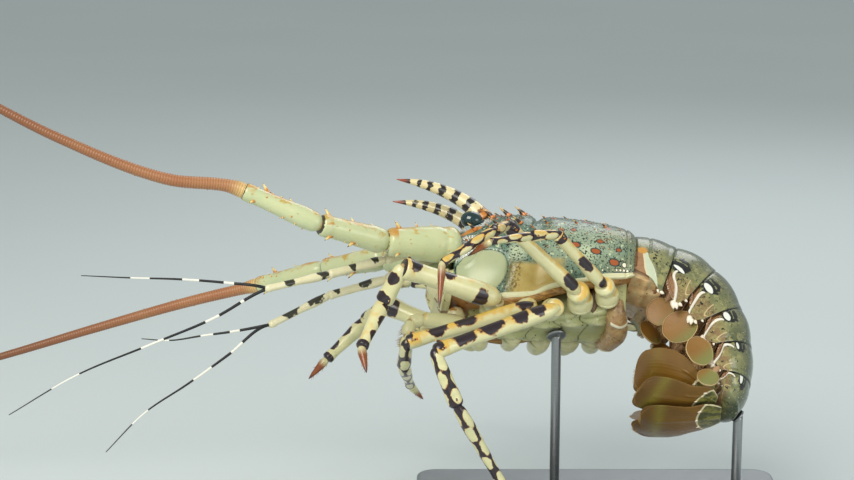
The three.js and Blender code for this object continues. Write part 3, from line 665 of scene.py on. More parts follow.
cornea = Finish("eye_cornea", 0.06, coat=(0.6, 0.03))
cornea.tone = cornea.cloud(5, 2, 0x081114, 0x1B4246)
cornea_look = cornea.wear(height=cornea.cells(0.3), depth=0.02, strength=0.25)
stalk_skin = Finish("eye_stalk", 0.32, coat=(0.3, 0.1))
stalk_skin.tone = stalk_skin.split(stalk_skin.frayed("tip", 2, 2), 0.4, 0.6, 0xC4783A, 0xBFD6DC)
stalk_look = stalk_skin.wear(height=stalk_skin.noise(0.8, 2), depth=0.1)
stalk_foot = (-139, 11, 22)
stalk_shares, stalk_radii = [0, 0.35, 0.62, 0.8, 1], [3.6, 4.4, 6.2, 7, 6]
eye_rows, eye_around, stalk_around = 34, 40, 30

for side_name, side in sides.items():
    centre, foot = mirrored(eye_place, side), mirrored(stalk_foot, side)
    look_way = unit(centre - foot)
    eye = Skins(animal)
    swing = np.linspace(-0.62, 1, eye_rows) * math.pi / 2
    path = [look_way * math.sin(a) for a in swing]
    radius = [max(math.cos(a), 0.01) for a in swing]
    eye.add(centre + tube(path, radius, eye_around) * eye_half, cornea_look)
    shares = np.linspace(0, 1, 18)
    path = [foot + (centre - foot) * s for s in shares]
    width = smooth(shares, stalk_shares, stalk_radii)
    eye.add(tube(path, width, stalk_around), stalk_look, tip=shares[:, None])
    eye.done("eye_ball_" + side_name, "eye_shell", "eye_" + side_name)

# The brow horns: two long curved thorns of solid shell over the eyes, banded black and
# cream up to a red-brown point. They grow out of the front of the back shell.


def aim(side, ahead, up):
    """A direction: ahead 0 is straight out to the animal's side, 90 straight ahead."""
    level = math.cos(up * degree)
    out = side * math.cos(ahead * degree) * level
    return np.array((-math.sin(ahead * degree) * level, out, math.sin(up * degree)))


def walk(start, side, steps):
    points = [np.array(start, float)]
    for length, ahead, up in steps:
        points.append(points[-1] + length * aim(side, ahead, up))
    return np.array(points)


def curve(points, places):
    """Points on a smooth line, at places from 0 to 1 of its length; also the length."""
    far = np.concatenate([[0], np.cumsum(np.linalg.norm(np.diff(points, axis=0), axis=1))])
    at = np.asarray(places) * far[-1]
    return np.stack([smooth(at, far, points[:, k]) for k in range(3)], 1), far[-1]


horn_root = (-130, 14, 38)
horn_steps = [(21, 89, 38), (21, 87, 21), (21, 86, 9), (21, 86, -1)]
horn_radii = [7.4, 5.9, 4.8, 3.3, 0.35]
horn_shares = [0, 0.26, 0.5, 0.74, 1]
# Cream bands: place along the horn and half length.
horn_bands = [(0.14, 0.05), (0.3, 0.05), (0.46, 0.05), (0.6, 0.045), (0.72, 0.04), (0.83, 0.04)]
horn_thorns = (0.16, 0.3, 0.46)
horn_rows, horn_around = 70, 26

horn_shell = Finish("horn_shell", 0.28, coat=(0.35, 0.1))
horn_shell.tone = horn_shell.cloud(6, 3, 0x2A1C1C, 0x0F1114)
horn_shell.paint(horn_shell.frayed("bands", 3, 2, 1.6), 0.0, 0.25, 0xE3D3A2)
horn_shell.paint("tip", 0.86, 0.95, 0x9A4322)
horn_shell.paint(horn_shell.frayed("tip", 3, 2, 0.24), 0.12, 0.04, 0xC98038)
horn_look = horn_shell.wear(height=horn_shell.noise(1.2, 4), depth=0.15)

for side_name, side in sides.items():
    places = np.linspace(0, 1, horn_rows)
    path, _ = curve(walk(mirrored(horn_root, side), side, horn_steps), places)
    rows = tube(path, smooth(places, horn_shares, horn_radii).clip(0.3), horn_around, flat=1.12)
    bands = np.max([1 - np.abs(places - at) / half for at, half in horn_bands], axis=0)
    horn = Skins(animal)
    horn.add(rows, horn_look, bands=bands[:, None], tip=places[:, None])
    for place in horn_thorns:
        root, lean = path[int(place * (horn_rows - 1))], unit(path[-1] - path[0])
        out = unit(np.cross(lean, (0, side, 0)) + 0.2 * np.array((0, side, 0)))
        root = root + out * 4.2 * (1 - place)
        grow_thorn(horn, root, out + lean, 3.4, 0.9, thorn_look, 0.2 * lean)
    horn.done("brow_horn_" + side_name, "horn_shell", "horn_" + side_name)

# The feelers: three stout articles that hinge on one another, with thorns at their far
# ends, then a long whip of many short rings. Soft dark skin closes each hinge.

feeler_root = (-150.6, 24, 4)
feeler_poses = {
    "left": [(61, 81, -12), (60, 66, -7), (66, 79, 11)],
    "right": [(61, 72, 15), (60, 58, -3), (66, 58, -6)],
}
whip_poses = {
    "left": [(60, 74, -10), (90, 75, 5), (90, 75, 13), (110, 74, 13), (110, 74, 5), (100, 76, -4)],
    "right": [(60, 70, -14), (90, 72, -18), (90, 72, -19), (110, 75, -19), (110, 76, -17),
              (100, 78, -12)],
}
# Share of an article's length and radius there, from its knuckle to the lip of its socket.
feeler_profiles = [
    [(-0.02, 9), (0.015, 12.6), (0.06, 14.4), (0.14, 15), (0.2, 14.1), (0.24, 14.7), (0.5, 14),
     (0.8, 12.1), (0.9, 11.9), (0.95, 11.2), (0.98, 9.4)],
    [(-0.03, 5), (0, 7.4), (0.05, 9.6), (0.14, 10.6), (0.3, 10.2), (0.5, 9.5), (0.8, 8.9),
     (0.92, 9.2), (0.97, 8.6), (1, 6.8)],
    [(-0.03, 4), (0, 5.8), (0.05, 7.6), (0.14, 8.5), (0.5, 7.6), (0.82, 7.1), (0.93, 7.4),
     (0.98, 6.9), (1.01, 5.2)],
]
# Thorns: article, share, direction (ahead, up), length and the shell's radius there.
feeler_thorns = [
    (0, 0.82, 40, 35, 8, 10.8), (0, 0.86, 150, 20, 8, 10.6), (0, 0.84, 60, -65, 6, 10.8),
    (0, 0.55, 60, 62, 5, 13), (0, 0.34, 60, 70, 4, 14), (0, 0.6, 120, -50, 4, 12.6),
    (1, 0.5, 60, -60, 7, 8.6), (1, 0.84, 60, -60, 7, 8), (1, 0.86, 60, 55, 8, 8),
    (1, 0.5, 60, 62, 5, 8.8), (1, 0.2, 60, 60, 4, 9.6), (1, 0.86, 150, 10, 5, 8),
    (2, 0.72, 70, 60, 9, 6.2), (2, 0.84, 50, -50, 6, 6.2), (2, 0.4, 70, 60, 5, 7),
    (2, 0.86, 140, 10, 4.5, 6),
]
feeler_around, feeler_bumps = 40, 60
whip_start, whip_overlap, whip_root, whip_tip = 1.8, 6, 5.2, 0.6
# Each ring of a whip: its length, and the swell of the four rows along it.
ring_length, ring_swell = 2.2, np.array([0.94, 1.0, 1.03, 1.02])
whip_around, whip_spine_count = 14, 100

cream = Finish("feeler_shell", 0.3, coat=(0.3, 0.12))
cream.tone = cream.cloud(22, 3, 0xB5C49A, 0xD3D0A0)
streak = cream.sum(cream.noise(7, 3, 0.8, cream.drawn(0.3)), cream.field("warm"))
cream.paint(streak, 0.9, 1.22, 0xC28A38)
ochre_patch = cream.sum(cream.noise(12, 3, 0.6), cream.times(cream.field("warm"), 0.3))
cream.paint(ochre_patch, 0.66, 0.76, 0xBFA04C)
cream.paint(cream.frayed("dark", 2.4, 2), 0.4, 0.6, 0x3B3426)
speck = cream.rise(cream.noise(2.2, 3), 0.66, 0.7)
cream.over(cream.times(speck, cream.field("warm")), 0x7C8A74)
cream_look = cream.wear(height=cream.cells(2.6), depth=0.22, strength=0.4)
spine = Finish("feeler_thorn", 0.28, coat=(0.3, 0.1))
spine_tip = spine.frayed("tip", 2, 2)
spine.tone = spine.split(spine_tip, 0.15, 0.6, 0xC98136, 0xE6CF86)
spine.paint(spine_tip, 0.82, 0.95, 0x5A3A1E)
spine_look = spine.wear(height=spine.noise(0.7, 2), depth=0.1)
hinge = Finish("hinge_skin", 0.45)
folds = hinge.noise(1.2, 4, 1.0)
hinge.tone = hinge.mix(folds, 0x8A7446, 0xC4AE78)
hinge_look = hinge.wear(height=folds, depth=0.4)
whip_shell = Finish("whip_shell", 0.42, coat=(0.15, 0.2))
whip_shell.tone = whip_shell.cloud(30, 3, 0xA2603C, 0xB98658)
whip_shell.paint("far", 0.0, 0.5, 0x7A4A2C)
whip_shell.paint("far", 0.035, 0.0, 0xE2C07C)
whip_shell.paint("ring", 0.72, 0.95, 0x7C4430)
whip_look = whip_shell.wear(height=whip_shell.noise(0.9, 3), depth=0.08)


article_row, fewest_rows = 1.1, 14
hinge_swell = np.array((0.8, 0.9, 1, 0.96, 1, 0.96, 1, 0.9, 0.8))


def limb(root, side, steps):
    """The joints of a limb and the line of each article, from its root on the right side."""
    joints = walk(mirrored(root, side), side, steps)
    return joints, np.diff(joints, axis=0)


def article(skins, joints, number, profile, look, around, hinge_radius, **fields):
    """One hard article of a limb from its knuckle to its socket, and the soft skin in two folds
    of the hinge before it. Fields are functions of share and turn."""
    shares, radii = np.array(profile, float).T
    start, line = joints[number], joints[number + 1] - joints[number]
    rows = max(fewest_rows, int(np.linalg.norm(line) / article_row))
    span = np.linspace(shares[0], shares[-1], rows)
    at = np.unique(np.concatenate([span, shares]))
    rows = tube(start + line * at[:, None], smooth(at, shares, radii), around)
    turn = (np.arange(around) / around * 360 + 180) % 360 - 180
    made = {name: field(at[:, None], turn[None]) for name, field in fields.items()}
    skins.add(rows, look, **made)
    if number:
        before, after = unit(start - joints[number - 1]), unit(line)
        path = np.array([start - before * hinge_radius, start, start + after * hinge_radius])
        path, _ = curve(path, np.linspace(0, 1, len(hinge_swell)))
        skins.add(tube(path, hinge_radius * hinge_swell, 20), hinge_look)


def out_of(line, turn, up=(0, 0, 1)):
    """The direction out of a line at a turn from its upper side."""
    up = unit(up - line * (line @ up))
    return math.cos(turn) * up + math.sin(turn) * np.cross(line, up)


def upper_side(share, turn):
    return (0.5 + 0.5 * np.cos((turn - 10) * degree)) * np.ones_like(share)


for side_name, side in sides.items():
    joints, ends = limb(feeler_root, side, feeler_poses[side_name])
    base, stem = Skins(animal), Skins(animal)
    for number, profile in enumerate(feeler_profiles):
        article(
            stem if number else base, joints, number, profile, cream_look, feeler_around,
            0.93 * profile[1][1],
            warm=lambda share, turn: 0.66 * upper_side(share, turn) + 0.25 * (share > 0.86),
            dark=lambda share, turn: 0.9 * band(share, 0.975, 2, 0.01) + 0 * turn,
        )
    for number, share, ahead, up, length, reach in feeler_thorns:
        way, line = aim(side, ahead, up), unit(ends[number])
        out = unit(way - line * (way @ line))
        root = joints[number] + ends[number] * share + out * reach
        skins = stem if number else base
        grow_thorn(skins, root, way, length, length * 0.24, spine_look, 0.12 * line)
    for trial in range(feeler_bumps):
        number = trial % 3
        share, turn = chance.uniform(0.12, 0.9), chance.uniform(0, 2 * math.pi)
        line = unit(ends[number])
        out = out_of(line, turn)
        width = smooth(share, *np.array(feeler_profiles[number]).T)
        root = joints[number] + ends[number] * share + out * width * 0.97
        size = chance.uniform(0.9, 1.9)
        skins = stem if number else base
        grow_thorn(skins, root, out + 0.7 * line, size, size * 0.4, spine_look, around=8)
    base.done("feeler_base_" + side_name, "cream_shell", f"antenna_{side_name}_base")
    stem.done("feeler_stem_" + side_name, "cream_shell", f"antenna_{side_name}_peduncle")

    start = joints[3] + unit(ends[2]) * whip_start
    points = walk(start, side, whip_poses[side_name])
    points = np.concatenate([[start - unit(ends[2]) * whip_overlap], points])
    _, length = curve(points, [0, 1])
    rings = int(length / ring_length)
    places = np.arange(rings * 4 + 1) / (rings * 4)
    path, _ = curve(points, places)
    step = np.arange(len(places)) % 4
    thick = (whip_root + (whip_tip - whip_root) * places) * ring_swell[step]
    thick *= 1 + 0.24 * bell(places - 0.012, 0.014)
    lash = Skins(animal)
    rows = tube(path, thick, whip_around)
    lash.add(rows, whip_look, far=places[:, None], ring=(step == 0)[:, None] * 1.0)
    for place in np.linspace(0.02, 0.8, whip_spine_count):
        row = int(place * (len(rows) - 1))
        corner = chance.integers(0, whip_around)
        out = unit(rows[row, corner] - path[row])
        line = unit(path[row + 3] - path[row])
        size = (1.5 - 1.0 * place) * chance.uniform(0.7, 1)
        root = rows[row, corner] - out * 0.2
        grow_thorn(lash, root, 0.55 * out + line, size, size * 0.3, whip_look, around=6, far=place)
    nodes = [f"antenna_{side_name}_flagellum_{third}" for third in (1, 2, 3)]
    lash.done("feeler_whip_" + side_name, "whip_shell", *nodes)

# The small feelers: a jointed stalk, cream with olive-black patches, that forks into two
# thin whips of black rings with short white stretches. They smell the way ahead.

small_root = (-150.8, 6.5, 20)
small_poses = {
    "left": [(66, 85, -30), (50, 84, -29), (56, 79, -29)],
    "right": [(66, 85, -36), (50, 85, -25), (56, 87, -38)],
}
small_profiles = [
    [(-0.03, 2.4), (0, 3.6), (0.08, 4.6), (0.5, 4.2), (0.9, 4.1), (0.97, 4.2), (1, 3)],
    [(-0.02, 2), (0, 2.9), (0.1, 3.9), (0.5, 3.5), (0.9, 3.6), (0.97, 3.7), (1, 2.6)],
    [(-0.02, 1.6), (0, 2.5), (0.1, 3.4), (0.5, 2.9), (0.88, 3), (0.96, 3.1), (1, 2)],
]
# Dark patches of each article: share, half length, turn and half turn.
small_patches = {
    "left": [[(0.25, 6, 20, 70), (0.6, 5, -20, 80)], [(0.18, 4, 0, 150), (0.58, 3.5, 0, 170)],
             [(0.08, 6, 0, 180), (0.62, 5.5, 0, 190)]],
    "right": [[(0.3, 7, 20, 90), (0.7, 5, -20, 90)], [(0.35, 7, 0, 150), (0.85, 4, 0, 150)],
              [(0.2, 10, 0, 170), (0.62, 9, 0, 190)]],
}
small_whips = {
    "left_outer": [(28, 90, -2), (38, 90, -5), (40, 90, -8), (38, 88, -8)],
    "right_outer": [(27, 79, -16), (26, 81, -14), (27, 82, -15), (23, 88, -5)],
    "left_inner": [(43, 99, -39), (57, 93, -34), (62, 90, -35), (59, 92, -43)],
    "right_inner": [(40, 82, -48), (40, 85, -47), (43, 88, -46), (43, 83, -57)],
}
# Where each whip is white, in millimetres from the fork.
small_white = {
    "left_outer": [(27, 36), (55, 69), (94, 110)],
    "right_outer": [(26, 35), (48, 59), (84, 94)],
    "left_inner": [(21, 25), (44, 57), (92, 112), (163, 188)],
    "right_inner": [(29, 42), (61, 80), (123, 141)],
}
small_fork, small_thick = (-1.6, 1.4, 0.84), (1.35, 0.35)
small_ring, small_overlap = 0.8, 2.5

banded = Finish("banded_shell", 0.3, coat=(0.35, 0.1))
banded.tone = banded.cloud(11, 3, 0xCFCB98, 0xE3DCAE)
banded.paint(banded.frayed("warm", 7, 3), 0.35, 0.85, 0xD6B052)
banded.paint(banded.frayed("shade", 9, 2), 0.6, 1.1, 0xBEC095)
patch_edge = banded.frayed("dark", 6, 2, 0.9, 0.4)
banded.paint(patch_edge, -0.12, 0.03, 0x9A6430)
banded.paint(patch_edge, -0.02, 0.07, banded.cloud(3, 3, 0x120D14, 0x33212A))
claw_edge = banded.frayed("claw", 6, 2, 0.225, 0.4)
banded.paint(claw_edge, 0.25, 0.7, 0x86461C)
banded.paint(claw_edge, 1.02, 1.3, 0x4A1C10)
banded_look = banded.wear(height=banded.noise(1.4, 4), depth=0.12, strength=0.5)
olive = Finish("olive_banded_shell", 0.34, coat=(0.25, 0.15))
olive.tone = olive.cloud(6, 2, 0xE8E2C4, 0xD9CFA2)
olive.paint(olive.frayed("dark", 4, 2, 0.8), 0.0, 0.15, 0x2C2A1E)
olive_look = olive.wear(height=olive.noise(1.0, 3), depth=0.08)
thin = Finish("small_whip", 0.45)
thin.tone = thin.split("white", 0.45, 0.55, 0x0D0D10, 0xEDEBE0)
thin_look = thin.wear(height=thin.noise(0.5, 2), depth=0.05)


def patches(spots, length):
    """The dark field of an article: spots hold share, half length, turn and half turn."""

    def field(share, turn):
        best = np.full(np.broadcast_shapes(share.shape, turn.shape), -3.0)
        for at, half, middle, half_turn in spots:
            around = (turn - middle + 180) % 360 - 180
            best = np.maximum(best, 1 - np.hypot((share - at) * length / half, around / half_turn))
        return best

    return field


def islands(spots, length):
    """The dark field of an article that is dark but for the pale ovals of its spots."""
    ovals_field = patches(spots, length)
    return lambda share, turn: -1.1 * ovals_field(share, turn)


for side_name, side in sides.items():
    joints, ends = limb(small_root, side, small_poses[side_name])
    stalk = Skins(animal)
    for number, profile in enumerate(small_profiles):
        dark = patches(small_patches[side_name][number], small_poses[side_name][number][0])
        hinge_radius = 0.95 * profile[1][1]
        article(stalk, joints, number, profile, olive_look, 20, hinge_radius, dark=dark)
    stalk.done("small_feeler_" + side_name, "small_feeler", "antennule_" + side_name)
    for fork, split in (("outer", 1), ("inner", -1)):
        name = side_name + "_" + fork
        x, y, z = small_fork
        start = joints[3] + np.array((x, split * side * y, split * z))
        points = walk(start, side, small_whips[name])
        points = np.concatenate([[joints[3] - unit(ends[2]) * small_overlap], points])
        _, length = curve(points, [0, 1])
        places = np.linspace(0, 1, int(length / small_ring))
        path, _ = curve(points, places)
        ring = 1 + 0.05 * np.cos(np.arange(len(places)) * math.pi)
        thick = (small_thick[0] + (small_thick[1] - small_thick[0]) * places) * ring
        white = np.max([band(places * length, a, b, 0.8) for a, b in small_white[name]], axis=0)
        lash = Skins(animal)
        lash.add(tube(path, thick, 10), thin_look, white=white[:, None])
        lash.done("small_whip_" + name, "small_feeler", f"antennule_{name}")

# The mouth: a ridged plate of shell below the feelers, two smooth hard jaws behind it, and
# the pair of jointed mouth legs that fold over them, fringed with stiff golden hairs.

mouth_rows = np.array([
    (150.2, 28, -14, -47),
    (151, 27, -14.5, -47),
    (158, 25, -15, -45),
    (165, 20, -17, -39),
    (170, 12, -20, -31),
]).T
jaw_place, jaw_half = (-143.5, 6.2, -51), (7.5, 7.5)
mouth_leg_root = (-136.5, 9.5, -60)
mouth_leg_steps = [(34, 86, -4), (11, 80, -30), (12, 120, -80), (8, -90, -40)]
mouth_leg_profiles = [
    [(-0.08, 3.4), (0, 5.4), (0.1, 6.7), (0.2, 7), (0.6, 6.7), (0.85, 6.1), (0.95, 5.8), (1, 4.4)],
    [(-0.1, 2.8), (0.04, 4.4), (0.3, 5.5), (0.6, 5.6), (0.9, 5), (1, 3.8)],
    [(-0.1, 2.4), (0.04, 4), (0.3, 5.1), (0.6, 5.2), (0.9, 4.3), (1, 3.2)],
    [(-0.1, 2), (0.05, 3), (0.4, 3.2), (0.8, 1.8), (1, 0.5)],
]
# Thorns of the mouth plate's front edge: distance to the side, height and length.
mouth_thorns = [(2.5, -30, 4), (9, -27, 4.5), (17, -25, 4)]
hair_count, mouth_steps, mouth_around = 26, 44, 72


def plate_form(rows, steps, around, square, grow=0.0):
    """A rounded box whose half width, top and bottom change along it."""
    ahead = np.linspace(rows[0][0], rows[0][-1], steps)[:, None]
    half, top, bottom = (smooth(ahead, rows[0], row) for row in rows[1:])
    turn = full_turn(around)[None]
    across, upward = (np.sign(f(turn)) * np.abs(f(turn)) ** square for f in (np.sin, np.cos))
    y = (half + grow) * across
    z = (top + bottom) / 2 + ((top - bottom) / 2 + grow) * upward
    return np.stack([-ahead + 0 * y, y, z], -1), ahead, turn


def grow_hair(skins, root, way, length, width, look, droop=(0, 0, 0)):
    shares = np.array([0, 0.35, 0.7, 1])
    path = [np.array(root) + length * (s * np.array(way) + s * s * np.array(droop)) for s in shares]
    skins.add(tube(path, width * np.array([1, 0.85, 0.55, 0.12]), 4), look)


gold_hair = Finish("golden_hair", 0.5)
gold_hair.tone = gold_hair.cloud(3, 2, 0x8A6A34, 0xB8925A)
gold_look = gold_hair.wear()
mouth_shell = Finish("mouth_shell", 0.32, coat=(0.3, 0.12))
mouth_shell.tone = mouth_shell.cloud(9, 3, 0xC6C18E, 0xD9D3A6)
mouth_shell.paint(mouth_shell.noise(7, 3, 0.6), 0.56, 0.6, 0x8C6B3A)
mouth_look = mouth_shell.wear(height=mouth_shell.noise(1.2, 4), depth=0.2)
jaw_shell = Finish("jaw_shell", 0.22, coat=(0.4, 0.08))
jaw_shell.tone = jaw_shell.split(jaw_shell.noise(6, 2), 0.5, 0.62, 0xD9D0A4, 0xA9773F)
jaw_look = jaw_shell.wear(height=jaw_shell.noise(2, 2))

mouth = Skins(animal)
mouth_points, mouth_ahead, mouth_turn = plate_form(mouth_rows, mouth_steps, mouth_around, 0.62)
mouth_out = facing(mouth_points)
ridge = 0.8 * bell(mouth_ahead - 156, 1.1) * (np.cos(mouth_turn) < 0.8)
ridge = ridge - 0.6 * bell(np.sin(mouth_turn), 0.05) + 0.5 * bell(mouth_ahead - 163, 0.9)
mouth.add(mouth_points + mouth_out * ridge[..., None], mouth_look)
for side in sides.values():
    for y, z, size in mouth_thorns:
        grow_thorn(mouth, (-164 + y * 0.28, side * y, z), forward, size, size * 0.3, thorn_look)
mouth.done("mouth_plate", "cream_shell", "mouth_frame")
jaws = Skins(animal)
for side in sides.values():
    swing = np.linspace(-1, 1, 24) * math.pi / 2
    path = [mirrored(jaw_place, side) - (0, 0, jaw_half[1] * math.sin(a)) for a in swing]
    jaws.add(tube(path, jaw_half[0] * np.cos(swing).clip(0.02), 32, 0.84, (0, side, 0)), jaw_look)
jaws.done("jaws", "cream_shell")

for side_name, side in sides.items():
    joints, ends = limb(mouth_leg_root, side, mouth_leg_steps)
    leg = Skins(animal)
    for number, profile in enumerate(mouth_leg_profiles):
        spots = [] if number else [(0.3, 4, 10, 50)]
        article(
            leg, joints, number, profile, banded_look, 26, 0.9 * profile[1][1],
            warm=lambda share, turn: 0.35 * upper_side(share, turn) + 0.3 * (share > 0.9),
            shade=lambda share, turn: 0.8 - 0.8 * upper_side(share, turn),
            dark=patches(spots, mouth_leg_steps[0][0]),
        )
        line = unit(ends[number])
        inward = unit(np.cross(line, (0.2, 0, 1)) * side)
        inward = inward if inward[1] * side < 0 else -inward
        for share in np.linspace(0.12, 0.92, hair_count):
            width = smooth(share, *np.array(profile).T)
            root = joints[number] + ends[number] * share + inward * width * 0.9
            way = inward + 0.5 * line + chance.normal(0, 0.18, 3)
            grow_hair(leg, root, way, chance.uniform(2.2, 4.6), 0.14, gold_look, 0.3 * line)
    leg.done("mouth_leg_pair_" + side_name, "cream_shell", "mouth_leg_" + side_name)

# The breastplate: five plates grown into one shield between the legs, with a seam between
# each pair of legs, a groove along the middle and a low knob inside each leg's root. The knobs
# and the crowns of the lobes are painted paler, as painted highlights.

breast_rows = np.array([
    (9, 27, -4, -37),
    (26, 29, -8, -43),
    (50, 25, -15, -48),
    (78, 20.5, -26, -53),
    (106, 15.5, -34, -57),
    (128, 12, -38, -58),
    (134, 9, -39, -54),
]).T
breast_seams = [37, 58, 81, 105, 123]
# The low knobs of one side: place, and their half length and half height.
breast_knobs = [(-31, 20, -41), (-54, 18, -46), (-77, 15, -50), (-101, 11, -54), (-121, 8, -57)]
knob_long, knob_high = 3.6, 2.4
lobe_length, tick_gap = 22.5, 9
breast_steps, breast_around = 170, 120
belly = Finish("belly_shell", 0.36, coat=(0.25, 0.15))
belly.tone = belly.cloud(14, 4, 0x969A62, 0xC2C18C)
belly.paint(belly.noise(8, 3, 0.8), 0.6, 0.75, 0xA8955C)
ticks = belly.sum(belly.noise(2.2, 2, 1.2), belly.times(belly.field("tick"), 0.12))
belly.paint(ticks, 0.7, 0.74, 0x2C2A1E)
belly.paint("seam", 0.4, 1.0, 0x5C5438)
# Painted highlights: the knobs and the crowns of the lobes are painted paler, as if lit.
belly.paint("knob", 0.1, 0.7, 0xD3D2AE)
belly.over(belly.times(belly.field("crown"), belly.noise(9, 3)), 0xDCDAAE)
belly_look = belly.wear(height=belly.noise(1.8, 4), depth=0.2)

# The relief: seams that bow at the sides, middle groove, edge of each row, lobes and knobs.
breast_points, breast_ahead, breast_turn = plate_form(breast_rows, breast_steps, breast_around, 0.6)
breast_out = facing(breast_points)
slope = np.sin(breast_turn)
lean_line = 13 * np.abs(slope) ** 1.6 + 2 * np.sin(slope * 9)
seam = np.max([bell(breast_ahead - at - lean_line, 0.75) for at in breast_seams], axis=0)
hollow = bell(slope, 0.16) * (np.cos(breast_turn) < 0)
row_edge = bell(np.abs(slope) - 0.62 - 0.05 * np.sin(breast_ahead * 0.3), 0.035)
press = -1.8 * seam - 1.8 * hollow - 0.9 * row_edge
# The crown of each lobe: raised, and also the mask of its painted highlight.
crown = bell((breast_ahead - lean_line + 8) % lobe_length - 11.2, 6.5)
crown = crown * np.maximum(bell(np.abs(slope) - 0.36, 0.16), bell(np.abs(slope) - 0.84, 0.12))
press = press + 2.4 * crown
# The knobs: raised, and also the mask of their painted highlight.
knob_places = [mirrored(place, side) for place in breast_knobs for side in (-1, 1)]
sizes = [[size] * len(knob_places) for size in (knob_long, knob_high)]
knob = ramp(ovals(breast_points, knob_places, *sizes))
press = press + 1.5 * knob**0.6
breast = Skins(animal)
breast.add(
    breast_points + breast_out * press[..., None], belly_look,
    seam=np.maximum(seam, 0.6 * row_edge) + 0 * press,
    tick=bell(breast_ahead % tick_gap - tick_gap / 2, 2.5) * (1 - hollow),
    knob=knob,
    crown=crown,
)
breast.done("breast_shield", "belly_shell", "breastplate")

# The lining under the rim of the back shell: a fold of orange skin over the gills, on each
# side, between the rim and the roots of the legs.

lining = Finish("gill_skin", 0.4, coat=(0.2, 0.2))
lining_streak = lining.noise(2.5, 3, 1.0, lining.drawn(0.25))
lining.tone = lining.split(lining_streak, 0.35, 0.7, 0x7E5426, 0xBE9450)
lining_look = lining.wear(height=lining_streak, depth=0.3)
gill_path = [(-13, 36, -11), (-30, 40.5, -18), (-50, 40.5, -25), (-70, 39, -33), (-90, 35.5, -42),
             (-110, 33, -46), (-128, 29.5, -47.5)]
gill_shares, gill_radii = [0, 0.08, 0.5, 0.9, 1], [1.6, 3.6, 4.6, 4.2, 1.6]
gill_rows = np.linspace(0, 1, 90)
gill = Skins(animal)
for side in sides.values():
    path, _ = curve(mirrored(gill_path, side), gill_rows)
    gill.add(tube(path, smooth(gill_rows, gill_shares, gill_radii), 24, 0.9), lining_look)
gill.done("gill_lining", "belly_shell")

# The soft skin behind the breastplate: a fleshy roll across the belly that folds when the
# tail curls, with a band of painted shade near each end, and on each side, between the last
# two leg roots, a dark tube of the same skin that is painted shade in the gap there.

flesh = Finish("belly_flesh", 0.42, coat=(0.25, 0.2))
flesh_cloud = flesh.noise(6, 4, 1.0)
flesh.tone = flesh.split(flesh_cloud, 0.35, 0.65, 0xA07A50, 0xBC9C6C)
flesh.paint(flesh.noise(3, 2), 0.64, 0.7, 0x6E4C30)
# Painted shade: the dark tubes in the gaps by the last leg roots, and a band near each end of the
# roll.
flesh.over("fold", 0x4A3220)
flesh.paint("ridge", 0.3, 0.7, 0xE6E0C4)
flesh_look = flesh.wear(height=flesh_cloud, depth=0.15)
roll_path = [(-15, -31, -27), (-16, -26, -36), (-13, -13, -40), (-11, 0, -41), (-13, 13, -40),
             (-16, 26, -36), (-15, 31, -27)]
roll_shares, roll_radii = [0, 0.1, 0.3, 0.5, 0.7, 0.9, 1], [3, 7.4, 9.6, 10.2, 9.6, 7.4, 3]
roll_around = 48
# The dark tube of painted shade between the last two leg roots: its path, then its radius along it.
fold_path = [(-37, 30, -17), (-36, 31, -26), (-35.5, 29.5, -34), (-35, 25, -41)]
fold_shares, fold_radii = [0, 0.3, 0.7, 1], [2.4, 3.8, 3.6, 1.6]
fold_rows = np.linspace(0, 1, 30)

roll = Skins(animal)
places = np.linspace(0, 1, 110)
path, _ = curve(np.array(roll_path, float), places)
width = smooth(places, roll_shares, roll_radii) * (1 + 0.012 * np.sin(places * 40))
rows = tube(path, width, roll_around, 0.9, (1, 0, 0))
roll_turn = full_turn(roll_around)[None]
pleat = 0.12 * np.sin(roll_turn * 7 + 1.2 * np.sin(places[:, None] * 16))
rows = rows + facing(rows) * pleat[..., None]
outward = np.abs(places[:, None] - 0.5)
ridge_at = bell(outward - 0.27 + 0.05 * np.cos(roll_turn), 0.02) * (np.cos(roll_turn) > -0.6)
rows = rows + facing(rows) * (0.9 * ridge_at)[..., None]
roll.add(rows, flesh_look, fold=0.5 * bell(outward - 0.4, 0.05) + 0 * roll_turn, ridge=ridge_at)
for side in sides.values():
    path, _ = curve(mirrored(fold_path, side), fold_rows)
    rows = tube(path, smooth(fold_rows, fold_shares, fold_radii), 20)
    roll.add(rows, flesh_look, fold=0.8, ridge=0.0)
roll.done("belly_roll", "belly_shell")

# The ten walking legs: six hard articles each, cream with purple-black patches and a claw
# of red-brown. The root and thigh are one length, the shin and claw the other; soft skin
# closes every hinge. The right legs have the left ones' lengths and a pose of their own.

leg_roots = [(-118, 15, -48), (-93, 19, -47), (-69, 23, -44), (-46, 27, -37), (-25, 31, -31)]
